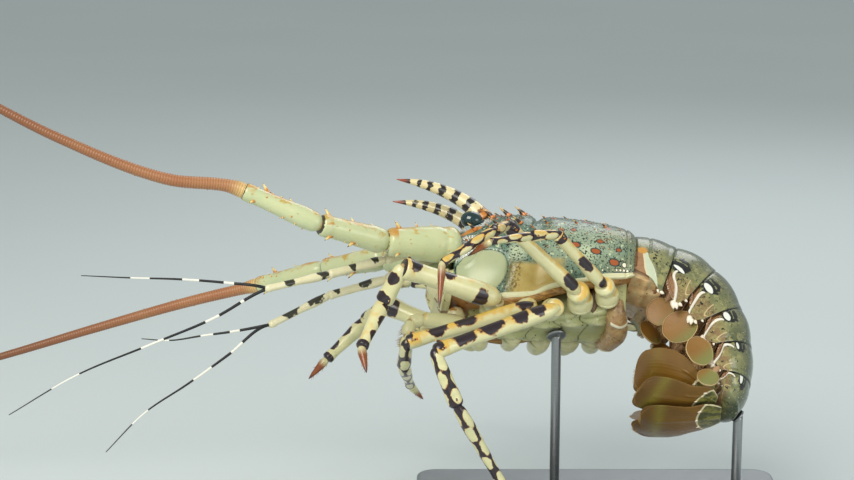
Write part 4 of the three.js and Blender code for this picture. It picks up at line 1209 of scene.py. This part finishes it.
# Lengths and girths of each leg's six articles, then their poses as two angles each.
leg_lengths = [
    (12, 14, 87, 33, 48, 22.5),
    (13, 15, 105, 36, 63, 27),
    (15, 20, 106, 46, 81, 31),
    (14, 15, 84, 27, 55, 36),
    (13, 14, 66, 25, 46, 25),
]
leg_girths = [
    (8, 7.6, 9, 7, 6, 3.6),
    (8, 7, 6.2, 5.6, 5, 3.4),
    (8.5, 7.4, 6.6, 6, 5.2, 3.6),
    (10.5, 9, 6, 4.8, 4, 3),
    (9.5, 8, 5.2, 4.4, 3.6, 2.8),
]
leg_poses = {
    "left": [
        [(5, -8), (-18, 3), (66, -3), (156, -39), (57, -73), (-74, -72)],
        [(5, -8), (-31, -15), (96, -25), (-178, -4), (-171, 12), (-150, 0)],
        [(5, -12), (-5, -30), (90, -31), (-123, -52), (-138, -28), (-141, -28)],
        [(10, 10), (18, -15), (54, 15), (34, -40), (75, -47), (-155, -81)],
        [(10, 15), (23, -13), (46, 12), (66, -25), (55, -31), (142, -11)],
    ],
    "right": [
        [(10, -12), (-4, 1), (82, 20), (26, -5), (72, -51), (57, -49)],
        [(5, -8), (0, 25), (5, 52), (30, 20), (80, 5), (110, -30)],
        [(5, -8), (0, 30), (0, 52), (-40, 25), (-80, 0), (-100, -30)],
        [(5, -8), (0, 30), (-10, 50), (-30, 30), (-80, 5), (-100, -30)],
        [(0, 0), (-10, 20), (-40, 42), (-70, 10), (-85, 0), (-100, -30)],
    ],
}
# Share of the article's length, then radius as a share of its girth, knuckle to socket.
leg_profiles = [
    [(-0.15, 0.5), (0, 0.86), (0.3, 1), (0.6, 1.01), (0.85, 0.93), (0.96, 0.82), (1.02, 0.6)],
    [(-0.12, 0.4), (0, 0.7), (0.25, 0.95), (0.55, 1), (0.85, 0.98), (0.95, 0.86), (1, 0.62)],
    [(-0.03, 0.35), (0, 0.62), (0.04, 0.88), (0.12, 1), (0.5, 0.93), (0.82, 0.88), (0.93, 0.98),
     (0.975, 0.95), (0.99, 0.86), (1, 0.66)],
    [(-0.06, 0.3), (-0.02, 0.56), (0.05, 0.76), (0.2, 0.88), (0.6, 0.96), (0.88, 1.03), (0.95, 0.98),
     (1, 0.66)],
    [(-0.05, 0.3), (-0.01, 0.6), (0.04, 0.88), (0.12, 1), (0.5, 0.9), (0.86, 0.78), (0.94, 0.84),
     (0.98, 0.8), (1, 0.56)],
    [(-0.05, 0.4), (0, 0.76), (0.08, 0.95), (0.2, 1), (0.45, 0.8), (0.65, 0.6), (0.85, 0.36),
     (1, 0.07)],
]
# Dark patches of each leg, article by article: share, half length, turn and half turn.
leg_patches = [
    {2: [(0.2, 6, 150, 60), (0.56, 7, 20, 75), (0.9, 5, 60, 60)],
     3: [(0.3, 5, 130, 50), (0.85, 5, 130, 60)],
     4: [(0.1, 4, 130, 60), (0.4, 6, 140, 50), (0.72, 5, 130, 55), (0.95, 2.5, 90, 120)]},
    {2: [(0.05, 8, 40, 95), (0.53, 9, 45, 85), (0.75, 8, 60, 85), (0.97, 3, 20, 90)]},
    {2: [(0.15, 6.5, 45, 85), (0.3, 7, 55, 80), (0.53, 11, 50, 88), (0.76, 10, 55, 85),
         (0.96, 4, 20, 90)]},
    {2: [(0.14, 8, 110, 60), (0.95, 4, 90, 120)]},
    {2: [(0.05, 5, 100, 70), (0.45, 8, 120, 55), (0.93, 3, 90, 160)]},
]
# How yellow each leg is above, and where the red of its claw begins.
root_warmth, leg_warmth = 0.45, (0.5, 0.9, 0.85, 0.8, 0.8)
claw_reds = (0.3, 0.05, 0.05, 0.35, 0.35)
lip_share, no_lip = 0.985, 9
# Thorns at a knee: turn round the leg and size; then article, share, reach, lean, length, width.
knee_turns = [(20, 1.0), (110, 0.75)]
knee_thorns = [(2, 0.93, 0.86, 1.4, 5.5, 1.3), (3, 0.88, 0.9, 1.2, 4.5, 1.2)]
leg_around, claw_bristles, bristle_side = 28, 30, (0, 0.3, 1)
claw_hair = Finish("claw_hair", 0.5)
claw_hair.tone = claw_hair.cloud(2, 2, 0x3A2412, 0x6B4522)
claw_hair_look = claw_hair.wear()


def pale_rings(length):
    """Rings of three pale ovals each along an article, smaller towards its far end."""
    count = round(length / 15)
    return [((k + 0.5) / count + 0.035 * (j - 1), 7.8 - 2 * k / count, 120 * j + 60 * k + 15, 46)
            for k in range(count) for j in range(3)]


for side_name, side in sides.items():
    for leg_number, root in enumerate(leg_roots):
        girths, lengths = leg_girths[leg_number], leg_lengths[leg_number]
        steps = [(l, *pose) for l, pose in zip(lengths, leg_poses[side_name][leg_number])]
        joints, ends = limb(root, side, steps)
        upper, lower = Skins(animal), Skins(animal)
        twist = 180 if leg_number == 0 and side > 0 else 0
        for number, length in enumerate(lengths):
            skins = lower if number > 2 else upper
            paint = patches(leg_patches[leg_number].get(number, []), length)
            if leg_number and number in (3, 4):
                paint = islands(pale_rings(length), length)
            profile = [(share, radius * girths[number]) for share, radius in leg_profiles[number]]
            warmth = leg_warmth[leg_number] if number > 1 else root_warmth
            if leg_number == 3 and number == 1:
                warmth = 1.0
            lip = lip_share if number > 1 else no_lip
            hinge_radius = 0.864 * min(profile[1][1], girths[max(number - 1, 0)])
            article(
                skins, joints, number, profile, banded_look, leg_around, hinge_radius,
                warm=lambda share, turn: (
                    warmth * upper_side(share, turn * side - 20) + 0.3 * (share > 0.9)
                ),
                shade=lambda share, turn: 0.75 - 0.75 * upper_side(share, turn * side - 30),
                dark=lambda share, turn: np.maximum(
                    paint(share, turn * side + twist), 1.2 * band(share, lip, 30, 0.01) - 0.6
                ),
                claw=lambda share, turn: (claw_reds[leg_number] + share) * (number == 5) + 0 * turn,
            )
        for turn, size in knee_turns:
            out = out_of(unit(ends[2]), side * turn * degree)
            for number, share, reach, lean, length, width in knee_thorns:
                thorn_root = joints[number] + ends[number] * share + out * girths[number] * reach
                way = out + lean * unit(ends[number])
                skins = lower if number > 2 else upper
                grow_thorn(skins, thorn_root, way, length * size, width * size, thorn_look)
        line = unit(ends[5])
        for share in np.linspace(0.1, 0.86, claw_bristles):
            out = out_of(line, chance.uniform(0, 2 * math.pi), bristle_side)
            width = smooth(share, *np.array(leg_profiles[5]).T) * girths[5]
            hair_root = joints[5] + ends[5] * share + out * width * 0.9
            way = 0.6 * out + line
            grow_hair(lower, hair_root, way, chance.uniform(1.4, 2.6), 0.12, claw_hair_look)
        name = f"leg_{side_name}_{leg_number + 1}"
        upper.done(name + "_thigh", "leg_shell", name + "_upper")
        lower.done(name + "_shin", "leg_tip", name + "_lower")

# The tail: six arched plates of hard olive shell, each sliding under the one before. A white
# ridge edges the front of every side flap and knobbed teeth its rear, a white oval in a dark
# blotch marks each flank, and brown skin that folds joins the plates and closes the belly.

# Each joint: x, z, tilt, half width, height of the back, depth of the belly.
tail_joints = np.array([
    (-6.6, 1, 0, 41, 45, 12),
    (20, -4.5, -13, 40, 48, 10),
    (42, -15, -31, 40, 48, 8),
    (59, -33, -52, 39, 41, 7),
    (70, -54, -68, 37, 33, 7),
    (76, -77, -85, 33, 25, 7),
    (77, -91, -122, 27, 17, 7),
]).T
flap_hangs = [14, 15, 14, 12, 9, 6]
flap_keys = [-0.1, 0, 0.12, 0.2, 0.34, 0.5, 0.62, 0.76, 0.9, 1, 1.1]
flap_reaches = [0.1, 0.15, 0.4, 0.6, 0.82, 1.0, 1.08, 1.1, 0.95, 0.55, 0.3]
first_reaches = [0.15, 0.2, 0.23, 0.25, 0.29, 0.38, 0.5, 0.75, 0.98, 1.0, 0.7]
flap_thick, flap_out, belly_inset, corner_turn = 2.6, 1, 7, 18
tail_rows, tooth_corner = 84, 6.45
# The front edge of the first plate's band, then where the front ridge of each flap runs.
rear_ridge = [(3.9, 0.03), (4.25, 0.08), (5.3, 0.2), (5.6, 0.4), (6.0, 0.6), (6.4, 0.75)]
ridge_lines = [
    [(3.9, 0.36), (4.2, 0.4), (4.5, 0.5), (4.9, 0.64), (5.4, 0.74), (5.8, 0.82), (6.5, 0.96)],
    [(4.1, 0.05), (4.85, 0.18), (5.4, 0.42), (5.95, 0.58), (6.4, 0.66)],
    [(4.2, 0.08), (4.95, 0.2), (5.5, 0.26), (5.95, 0.34), (6.4, 0.5)],
    [(4.1, 0.08), (4.55, 0.17), (5.1, 0.22), (5.6, 0.32), (5.95, 0.5), (6.4, 0.7)],
    rear_ridge,
    rear_ridge,
]
# White ovals: share, corner, half length, half height and slant.
tail_ovals = [None, (0.3, 4.22, 5.6, 1.5, 24), (0.3, 4.08, 4.9, 2.9, 14), (0.25, 4.02, 4.0, 3.2, 0),
              (0.2, 3.8, 2.8, 1.8, 0), (0.14, 3.36, 3.8, 3.0, 0)]
# Knobs on a flap's rear edge, from the hinge to the tip; the first flap has only two.
tooth_shares = [0.64, 0.76, 0.88, 0.99]
first_teeth, tooth_sizes = [0, 0, 2.4, 3.4], [6.2, 5.2, 4.0, 3.0]
knob_profile = [0.9, 1.05, 1.12, 1.1, 1.0, 0.82, 0.5, 0.12]
# Rows of a plate's ends: share, growth, inset and shrink. The last plate closes over the fan.
front_rim = [(-0.18, -2.5, 0, 1), (-0.1, -1.6, 0, 1)]
rear_rim = [(1.03, 0, 0, 1), (1.055, -0.1, 0, 1), (1.065, -0.5, 0, 1), (1.06, -1.1, 0, 1),
            (1, -2, 0, 1)]
last_rim = [(1, -0.1, 1.2, 0.98), (1, -0.4, 2, 0.93), (1, -1, 3, 0.84), (1, -1, 3.8, 0.7),
            (1, -1, 4, 0.5)]


def tail_skin(number, share, corner, side, grow=0.0, inset=0.0, shrink=1.0):
    """Points of a tail plate. Corner 0 is the middle of the back, 5 the flank, 6 the flap's
    edge, 9 the middle of the belly."""
    share, corner, side, grow = np.broadcast_arrays(share, corner, side, grow)
    keys = np.arange(len(tail_joints[0]))
    x, z, tilt, half, back, belly = (smooth(number + share, keys, row) for row in tail_joints)
    swell = 1 + 0.05 * np.sin(ramp(share) * math.pi)
    reaches = flap_reaches if number else first_reaches
    hang = flap_hangs[number] * smooth(share, flap_keys, reaches)
    arch = corner * corner_turn * degree
    down, tip = corner - 5, (corner - 6) * math.pi
    inner, under = corner - 7, corner - 8
    lip = flap_thick / 2 + grow
    wide, edge = half * swell, half + flap_out - flap_thick / 2
    floor_half, floor_high = half - belly_inset, 0.6 * belly
    parts_y = [
        (wide + grow) * np.sin(arch),
        wide + (half + flap_out - wide) * down + grow,
        edge + lip * np.cos(tip),
        edge - lip + (floor_half - edge + lip) * inner,
        floor_half * (1 - under),
    ]
    parts_z = [
        (back * swell + grow) * np.cos(arch),
        -hang * down,
        -hang - lip * np.sin(tip),
        -hang + (hang - floor_high) * inner,
        -floor_high - (belly - floor_high) * under,
    ]
    pick = [corner <= 5, corner <= 6, corner <= 7, corner <= 8]
    y, high = (np.select(pick, part[:4], part[4]) for part in (parts_y, parts_z))
    high = high * shrink + (back - belly) / 2 * (1 - shrink)
    level, lean = np.cos(tilt * degree), np.sin(tilt * degree)
    x, z = x + inset * level - high * lean, z + inset * lean + high * level
    return np.stack([x, side * y * shrink, z], -1)


tail = Finish("tail_shell", 0.28, coat=(0.35, 0.16))
peach = tail.split(tail.noise(9, 3), 0.35, 0.65, 0xD8AE7C, 0xE8CC98)
peach = tail.split(tail.noise(3.4, 2), 0.68, 0.72, peach, 0x4A3422)
tail.tone = tail.cloud(4, 4, 0x8A6044, 0xAE8860, 1.0)
tail.over("peach", peach)
tail.paint("milk", 0.3, 0.7, 0xC4CCB2)
tail.paint("seam", 0.3, 0.7, 0xD9CBA8)
folded_skin = tail.tone
tail.tone = tail.split(tail.noise(20, 3), 0.35, 0.65, 0x5C6142, 0x87875A)
tail.paint(tail.noise(7, 3, 0.6), 0.5, 0.62, 0x959160)
tail.over("upper", 0x3E4A38)
tail.over("lower", tail.split(tail.noise(5, 3, 0.8), 0.42, 0.6, 0x8A6A48, 0x9A8C58))
tail.paint(tail.sum(tail.noise(2.4, 3, 0.4), tail.field("fleck")), 0.62, 0.67, 0x1F2318)
tail.paint(tail.noise(1.9, 2, 0.6), 0.66, 0.7, 0xB9AE80)
tail.paint("skin", 0.45, 0.55, folded_skin)
tail.paint(tail.frayed("yellow", 3.4, 3, 0.9), 0.2, 0.5, 0xC98F3C)
tail.paint(tail.frayed("curve", 3.4, 3, 0.27), 0.2, 0.6, 0xC9B083)
tail.paint(tail.frayed("blotch", 3.4, 3, 0.9), 0.0, 0.2, 0x12150F)
tail.paint(tail.frayed("oval", 3.4, 3, 0.27), -0.02, 0.1, 0xECEDE4)
# Painted shadow: the rear lip of each plate, where it overhangs the next plate, is painted dark.
tail.paint("edge", 0.4, 0.7, 0x22261A)
ridge_edge = tail.frayed("ridge", 3.4, 3, 0.225)
tail.paint(ridge_edge, 0.1, 0.3, tail.cloud(5, 2, 0xE9DCC6, 0xF1ECE2))
tail_look = tail.wear(tail.sheen(6, 3, 0.2, 0.14), tail.noise(1.3, 3), 0.12, 0.5)
ivory = Finish("ivory_knobs", 0.25, coat=(0.4, 0.1))
ivory.tone = ivory.split("tip", 0.25, 0.02, 0xEFE5D3, 0xA98A66)
ivory_look = ivory.wear(height=ivory.noise(1.2, 3), depth=0.1)

half_corners = [np.linspace(*stretch)[1:] for stretch in ((4, 6, 92), (6, 7, 14), (7, 9, 40))]
half_corners = np.concatenate([np.linspace(0, 4, 62), *half_corners])
tail_corner = np.concatenate([half_corners, half_corners[-2:0:-1]])[None]
tail_side = np.where(np.arange(tail_corner.shape[1]) < len(half_corners), -1.0, 1.0)[None]

for number in range(6):
    first, last = number == 0, number == 5
    rows = [(share, 0, 0, 1) for share in np.linspace(-0.04, 1.0, tail_rows)]
    share, grow, inset, shrink = columns(front_rim + rows + (last_rim if last else rear_rim))
    points = tail_skin(number, share, tail_corner, tail_side, grow, inset, shrink)
    out = facing(points)

    # The front ridge and the folding skin before it.
    line_corners, line_shares = zip(*ridge_lines[number])
    front = smooth(tail_corner, line_corners, line_shares)
    front = np.where(tail_corner > (6.5 if first else 6.3), 9, front)
    front = np.where(tail_corner < line_corners[0], -1, front)
    skin = ramp(share, front + 0.015, -0.03)
    below = tail_corner - line_corners[0] - 0.3
    outer = ramp(tail_corner, 4.6, 1.5)
    hook = 0.05 + 0.15 * np.exp(-np.clip(below, 0, None) / 0.2)
    fade = ramp(below, 0, 0.25) * ramp(tail_corner, 6.75, -0.25)
    ridge = np.clip(1 - np.abs(share - front - hook) / (0.05 + 0.06 * outer), -1, 1)
    ridge = ridge * (fade > 0) * fade**0.3

    # The relief: skin, ridge, a step at each end, a bar across the belly, groove or folds.
    hem = (2 - 0.49 * np.abs(points[..., 1]) - 0.857 * points[..., 2]) / 2
    low = ramp(hem) * first
    recess = np.where(first, 1.2, 2.6) * skin * ramp(tail_corner, 3.9, 0.4)
    lift = (1.0 + 1.0 * outer) * ramp(ridge) ** 0.6 * (not first)
    relief = 1.6 * low * skin - recess + lift
    relief -= 0.9 * band(share, -9, 0.1, 0.05) * (tail_corner < 5)
    relief += 0.7 * band(share, 0.9, 9, 0.08) * (tail_corner < 6.2)
    relief += 1.4 * bell(share - 0.5, 0.12) * band(tail_corner, 7.9, 10, 0.2)
    if first:
        relief -= 0.8 * bell(share - 0.42, 0.03) * (tail_corner < 4)
    else:
        relief += 0.3 * np.sin(share * 60 + tail_corner * 5) * skin * (tail_corner > 4)
    points = points + out * (relief * (grow == 0))[..., None]

    # The white oval in its dark blotch, with a pale line under it.
    oval = np.full(points.shape[:2], -3.0)
    blotch = oval
    if tail_ovals[number]:
        at, corner, long, high, slant = tail_ovals[number]
        reach = np.linalg.norm(np.diff(tail_joints[:2, number : number + 2], axis=1))
        along, across = (share - at) * reach * 1.05, (tail_corner - corner) * 13
        lean_cos, lean_sin = math.cos(slant * degree), math.sin(slant * degree)
        a, b = along * lean_cos + across * lean_sin, across * lean_cos - along * lean_sin
        oval = 1 - np.hypot(a / long, b / high)
        blotch = 1 - np.hypot((along - 0.3) / (long + 2.6), (across + 3.6) / (high + 6.2))
        pale_line = bell(across + 6.5 - 0.25 * along, 0.8) * (np.abs(along) < long * 0.8)
        blotch = blotch - 0.9 * pale_line

    boundary = 0.3 + 0.09 * (tail_corner - 4.6)
    arc = bell(np.hypot((share - 1.02) / 0.26, (tail_corner - 4.55) / 0.95) - 1, 0.06)
    plates = Skins(animal)
    plates.add(
        points, tail_look,
        upper=0.85 * ramp(tail_corner, 3.9, -1.8),
        lower=0.8 * band(tail_corner, 4.4, 7, 0.6) * band(share, 0.1, 1.4, 0.15) * (not first),
        fleck=0.1 * band(share, 0.42, 0.75, 0.1) if first else 0.06 * bell(share - 0.1, 0.25),
        skin=skin,
        milk=first * skin * (share > boundary) * (tail_corner < 7.6) * (1 - low),
        peach=np.maximum(
            low, band(tail_corner, 7.3, 10, 0.3) * (1.0 if first else bell(share - 0.5, 0.2))
        ),
        seam=first * skin * band(share - boundary, -0.03, 0.035, 0.015) * (1 - low),
        yellow=first * (1 - np.hypot((share - 0.2) / 0.2, (tail_corner - 3.75) / 0.35)),
        curve=arc * (not first) * (share < 1.01) * (tail_corner > 4.5),
        blotch=blotch,
        oval=oval,
        # Painted shadow under each plate's overhanging rear lip.
        edge=band(share, 1.02, 9, 0.02) * (tail_corner < 6.2) * (not last),
        ridge=-1.0 if first else ridge,
    )
    for side in sides.values():
        for at, size in zip(tooth_shares, first_teeth if first else tooth_sizes):
            if size:
                size = size * (1 - 0.08 * number)
                root = tail_skin(number, at, tooth_corner, side, -0.6)
                rearward = unit(tail_skin(number, at + 0.05, tooth_corner, side) - root)
                down = tail_skin(number, at, 5.9, side) - tail_skin(number, at, 5.2, side)
                way = unit(down) + 0.9 * rearward
                bend = 0.3 * rearward
                grow_thorn(plates, root, way, size, size * 0.4, ivory_look, bend, 14, knob_profile)
    plates.done(f"tail_plate_{number + 1}", "tail_shell", f"abdomen_{number + 1}")

# The swimming leaves: a thin oval paddle on each side under plates two to five, hung from the
# belly by a short stalk. The skin is orange and soft, with a pale rim and a fringe of hairs.

# Plate, side, radius, then ahead, out and down from the middle of the plate, bank, lean and
# how green the leaf is.
leaf_sizes = [
    (1, -1, 11.2, -2, 19, 19.5, 16, 30, 0.0), (1, 1, 11.2, -2, 19, 19.5, 16, 30, 0.0),
    (2, -1, 14.2, 4, 30, 24.5, 16, 20, 0.2), (2, 1, 14.2, 4, 30, 24.5, 16, 20, 0.2),
    (3, -1, 12, 15.7, 42, 24.5, -8, -14, 0.35), (3, 1, 12, 10, 33, 20, 16, 20, 0.35),
    (4, -1, 8.5, 19.5, 39, 20, 16, 0, 0.9), (4, 1, 8.5, 8, 26, 19, 16, 20, 0.9),
]
# Half a leaf's section, from its inner face to its rim: share of the radius and depth.
leaf_profile = [(0.03, -0.85), (0.2, -0.84), (0.4, -0.8), (0.6, -0.7), (0.8, -0.55), (0.9, -0.42),
                (0.94, -0.4), (0.955, -0.62), (0.975, -0.7), (0.993, -0.45), (1, 0)]
leaf_rim = len(leaf_profile) - 1
leaf_profile += [(reach, -deep) for reach, deep in leaf_profile[-2::-1]]
leaf_around, leaf_hairs, leaf_ribs = 110, 64, 21
stalk_rows = np.linspace(0, 1, 16)
stalk_shares, stalk_radii = [0, 0.3, 0.7, 1], [3.4, 2.7, 2.3, 1.5]

leaf_skin = Finish("leaf_skin", 0.5, coat=(0.12, 0.3))
leaf_skin.tone = leaf_skin.cloud(12, 3, 0x87561F, 0x94702E)
leaf_skin.paint("green", 0.1, 1.0, 0x7C7E44)
leaf_vein = leaf_skin.times(leaf_skin.field("vein"), leaf_skin.noise(3, 2))
leaf_skin.over(leaf_skin.times(leaf_skin.rise(leaf_vein, 0.2, 0.6), 0.3), 0x93602E)
leaf_skin.paint("reach", 0.96, 0.975, 0xC9AC7C)
leaf_look = leaf_skin.wear(height=leaf_skin.noise(1.6, 3), depth=0.15)
stalk_hide = Finish("leaf_stalk", 0.4, coat=(0.2, 0.2))
hide_grain = stalk_hide.noise(2.5, 3)
stalk_hide.tone = stalk_hide.mix(hide_grain, 0x9A6E4A, 0xC9A67C)
hide_look = stalk_hide.wear(height=hide_grain, depth=0.3)

leaves = Skins(animal)
turn = full_turn(leaf_around)[None]
reach, deep = columns(leaf_profile)
rib_wave = np.cos(turn * leaf_ribs + 2 * np.sin(turn * 2))
for number, side, radius, ahead, out_way, below, bank, lean, green in leaf_sizes:
    start, end = (np.array((tail_joints[0][k], 0, tail_joints[1][k])) for k in (number, number + 1))
    along = unit(end - start)
    plate_axes = np.array([along, (0, 1, 0), (-along[2], 0, along[0])]).T
    tilted = Matrix.Rotation(-side * lean * degree, 3, "X")
    tilted = plate_axes @ np.array(tilted @ Matrix.Rotation(side * bank * degree, 3, "Z"))
    middle = (start + end) / 2 + plate_axes @ np.array((ahead, side * out_way, -below))
    way, up = tilted @ (0, 1, 0), tilted @ (0, 0, 1)
    across = np.cross(way, up)
    outline = radius * (1.03 + 0.05 * np.cos(turn) + 0.012 * np.sin(turn * 7 + number))
    rise = deep * (1 + 0.04 * rib_wave * np.sin(reach * math.pi)) - side * 1.6 * (1 - reach**2)
    spoke = np.cos(turn)[..., None] * up + np.sin(turn)[..., None] * across
    rows = middle + (outline * reach)[..., None] * spoke + rise[..., None] * way
    rearward = (rows[..., 0] - middle[0] + middle[2] - rows[..., 2]) / radius
    vein = ramp(rib_wave) * (reach < 0.93)
    leaves.add(rows, leaf_look, reach=reach, green=green + 0.55 * rearward, vein=vein)
    for step in range(leaf_hairs):
        rim = rows[leaf_rim, int(step / leaf_hairs * leaf_around)]
        grow_hair(leaves, rim, unit(rim - middle), chance.uniform(1.2, 2.0), 0.09, gold_look)
    foot = (start + end) / 2 + plate_axes @ np.array((min(ahead, 6), side * 28, -3))
    top = middle + unit(foot - middle) * radius * 0.9
    path = np.array([foot, (foot + top - up) / 2 + (0, side * 1.5, 0), top])
    path, _ = curve(path, stalk_rows)
    leaves.add(tube(path, smooth(stalk_rows, stalk_shares, stalk_radii), 18), hide_look)
leaves.done("swimming_leaves", "tail_shell")

# The tail fan: a middle blade and two pairs of side blades, overlapping like slates. The root
# of each is hard olive shell with a pale edge and spines; the rest is leathery, orange-brown,
# finely ribbed lengthways and fringed with hairs. The leather is painted darker than its own
# orange-brown, as painted shade, because the fan sits in shade.

fan_turn, fan_yaw, fan_roll = 172, 10, 3
fan_root = (79, 0, -101.5)
# Half widths along a blade, on the side towards the middle and on the outer side.
middle_widths, inner_widths = (14, 20, 21, 24, 21, 20), (8, 18, 21, 25, 22, 21)
middle_side = (8, 13, 18, 23, 21, 20)
narrow_side, wide_side = (5, 7, 8, 8, 8, 7), (6, 9, 27, 33, 29, 28)
# Name, side, start, spread, out, cup, layer, length and the two lines of half widths.
fan_blades = [
    ("telson", 0, 0, 0, 0, 0, 0, 65, middle_widths, middle_widths),
    ("uropod_left_inner", -1, 5, 19, 13, 6, 5, 66, middle_side, inner_widths),
    ("uropod_right_inner", 1, 5, 19, 13, 6, 5, 66, middle_side, inner_widths),
    ("uropod_left_outer", -1, 5, 8, 22, 36, 12, 65, narrow_side, wide_side),
    ("uropod_right_outer", 1, 10, 8, 22, 36, 12, 61, narrow_side, wide_side),
]
blade_shares, blade_thick = [0, 0.12, 0.4, 0.72, 0.94, 1], [1.7, 1.6, 1.3, 1, 0.7, 0.4]
blade_bow, blade_hollow = 3, 20
# From this share on the end of a blade is rounded, over this length.
round_from, round_length = 0.88, 0.1205
blade_around, blade_ribs, blade_hairs = 300, 30, 130
# Spines on the edge of the hard root: place across the blade and length.
blade_spines = [(-0.62, 3.4), (0.0, 2.6), (0.62, 3.4)]

fan = Finish("fan_leather", 0.46, coat=(0.12, 0.3))
hard_root = fan.split(fan.noise(6, 3), 0.4, 0.62, 0x4C4E2C, 0x85803F)
hard_root = fan.split(fan.noise(2.2, 3), 0.62, 0.67, hard_root, 0x23251A)
# Painted shade: the leather's orange-brown is painted darker, for the shade the fan sits in.
fan.tone = fan.cloud(16, 3, 0x6C4A1C, 0x8C6624, 0.5)
ray = fan.rise(fan.times(fan.field("rib"), fan.noise(5, 2)), 0.1, 0.6)
fan.over(fan.times(ray, 0.06), 0x94702F)
fan.over("rimward", 0x5E4018)
fan.over("stripe", 0x84742A)
fan.paint(fan.frayed("hard", 5, 3, 0.3), -0.06, 0.04, hard_root)
fan.paint(fan.frayed("margin", 4, 2, 0.6), 0.35, 0.7, 0xDCCFA8)
fan_look = fan.wear(fan.sheen(5, 3, 0.25, 0.22), fan.noise(1.2, 3), 0.12, 0.5)

fan_place = Matrix.Translation(fan_root)
for angle, axis in ((fan_turn, "Y"), (fan_yaw, "Z"), (fan_roll, "X")):
    fan_place = fan_place @ Matrix.Rotation(angle * degree, 4, axis)
share = np.concatenate([np.linspace(0, round_from, 96), np.linspace(0.89, 1, 30)])[:, None]
turn = full_turn(blade_around)[None]
v = -np.sign(np.sin(turn)) * np.abs(np.sin(turn)) ** 0.85
top_side = np.cos(turn)
tip_round = 1 - (ramp(share, round_from) / round_length) ** 2
tip_round = np.sqrt(np.clip(tip_round, 0.002, 1)) ** 0.5
rib_wave = np.cos(v * blade_ribs * math.pi * 0.5)


def top_column(across):
    """The column of a blade's upper face that lies nearest to a place across it."""
    return int(np.argmin(np.abs(v[0] - across) + 9 * (top_side[0] < 0)))


for blade_name, side, begin, spread, out, cup, layer, length, inward, outward in fan_blades:
    place = fan_place @ Matrix.Translation((begin, side * out, -layer))
    place = place @ Matrix.Rotation(-side * cup * degree, 4, "X")
    place = np.array(place @ Matrix.Rotation(side * spread * degree, 4, "Z"))
    near_side, far_side = (smooth(share, blade_shares, line) * tip_round for line in (inward, outward))
    thick = smooth(share, blade_shares, blade_thick) * 0.55
    hard_line = 0.26 - 0.05 * v * side - 0.1 * v**2 if side else 0.3 - 0.1 * v**2
    hard = (hard_line - share) / 0.1
    soft_part = ramp(share, hard_line, 0.04)
    bulge = 0.45 * ramp(hard) ** 0.5 + 0.35 * bell(v, 0.12) * (share < 0.8)
    if side:
        bulge = bulge + 0.5 * bell(v - 0.35 * side, 0.05) * (share < hard_line + 0.2)
    bulge = bulge + 0.03 * rib_wave * soft_part * (share < 0.985)
    thick = thick + np.abs(top_side) ** 0.5 * bulge
    across = (far_side - near_side) / 2 * (side or 1) + (far_side + near_side) / 2 * v
    lift = blade_bow * np.sin(share * math.pi) - (across / blade_hollow) ** 2
    lift = lift + thick * np.sign(top_side) * np.abs(top_side) ** 0.6
    lift = lift + 0.5 * np.sin(share * 9 + v * 3 + out) * soft_part * share
    rows = np.stack([share * length + 0 * across, across, lift], -1)
    rows = rows @ place[:3, :3].T + place[:3, 3]
    pale_rim = bell((np.abs(v) - 0.97) / 0.04, 1) * (share < hard_line)
    stripe = 0.85 if side >= 0 or out < 20 else 0.25
    blade = Skins(animal)
    blade.add(
        rows, fan_look,
        hard=hard,
        margin=bell((share - hard_line) / 0.016, 1) + 0.8 * pale_rim,
        rib=0.5 + 0.5 * rib_wave * soft_part,
        stripe=stripe * bell(share - 0.78 - 0.03 * v, 0.075),
        rimward=0.6 * ramp(share, 0.45, 0.4),
    )
    for step in range(blade_hairs):
        at = math.sin((step / blade_hairs - 0.5) * math.pi)
        row = int(len(rows) * (1 - 0.56 * abs(at) ** 6)) - 2
        way = unit(place[:3, :3] @ np.array((0.9 - 0.3 * abs(at), at, 0.0)))
        root = rows[row, top_column(at)] - way * 0.4
        grow_hair(blade, root, way, chance.uniform(1.6, 3.0), 0.1, gold_look)
    for at, size in blade_spines:
        column = top_column(at)
        row = int(np.argmin(np.abs(share[:, 0] - hard_line[0, column])))
        way = unit(place[:3, :3] @ np.array((1.0, 0.1 * at, 0.35)))
        grow_thorn(blade, rows[row, column] - way * 0.6, way, size, size * 0.26, ivory_look)
    blade.done("fan_" + blade_name, "fan_shell", blade_name)
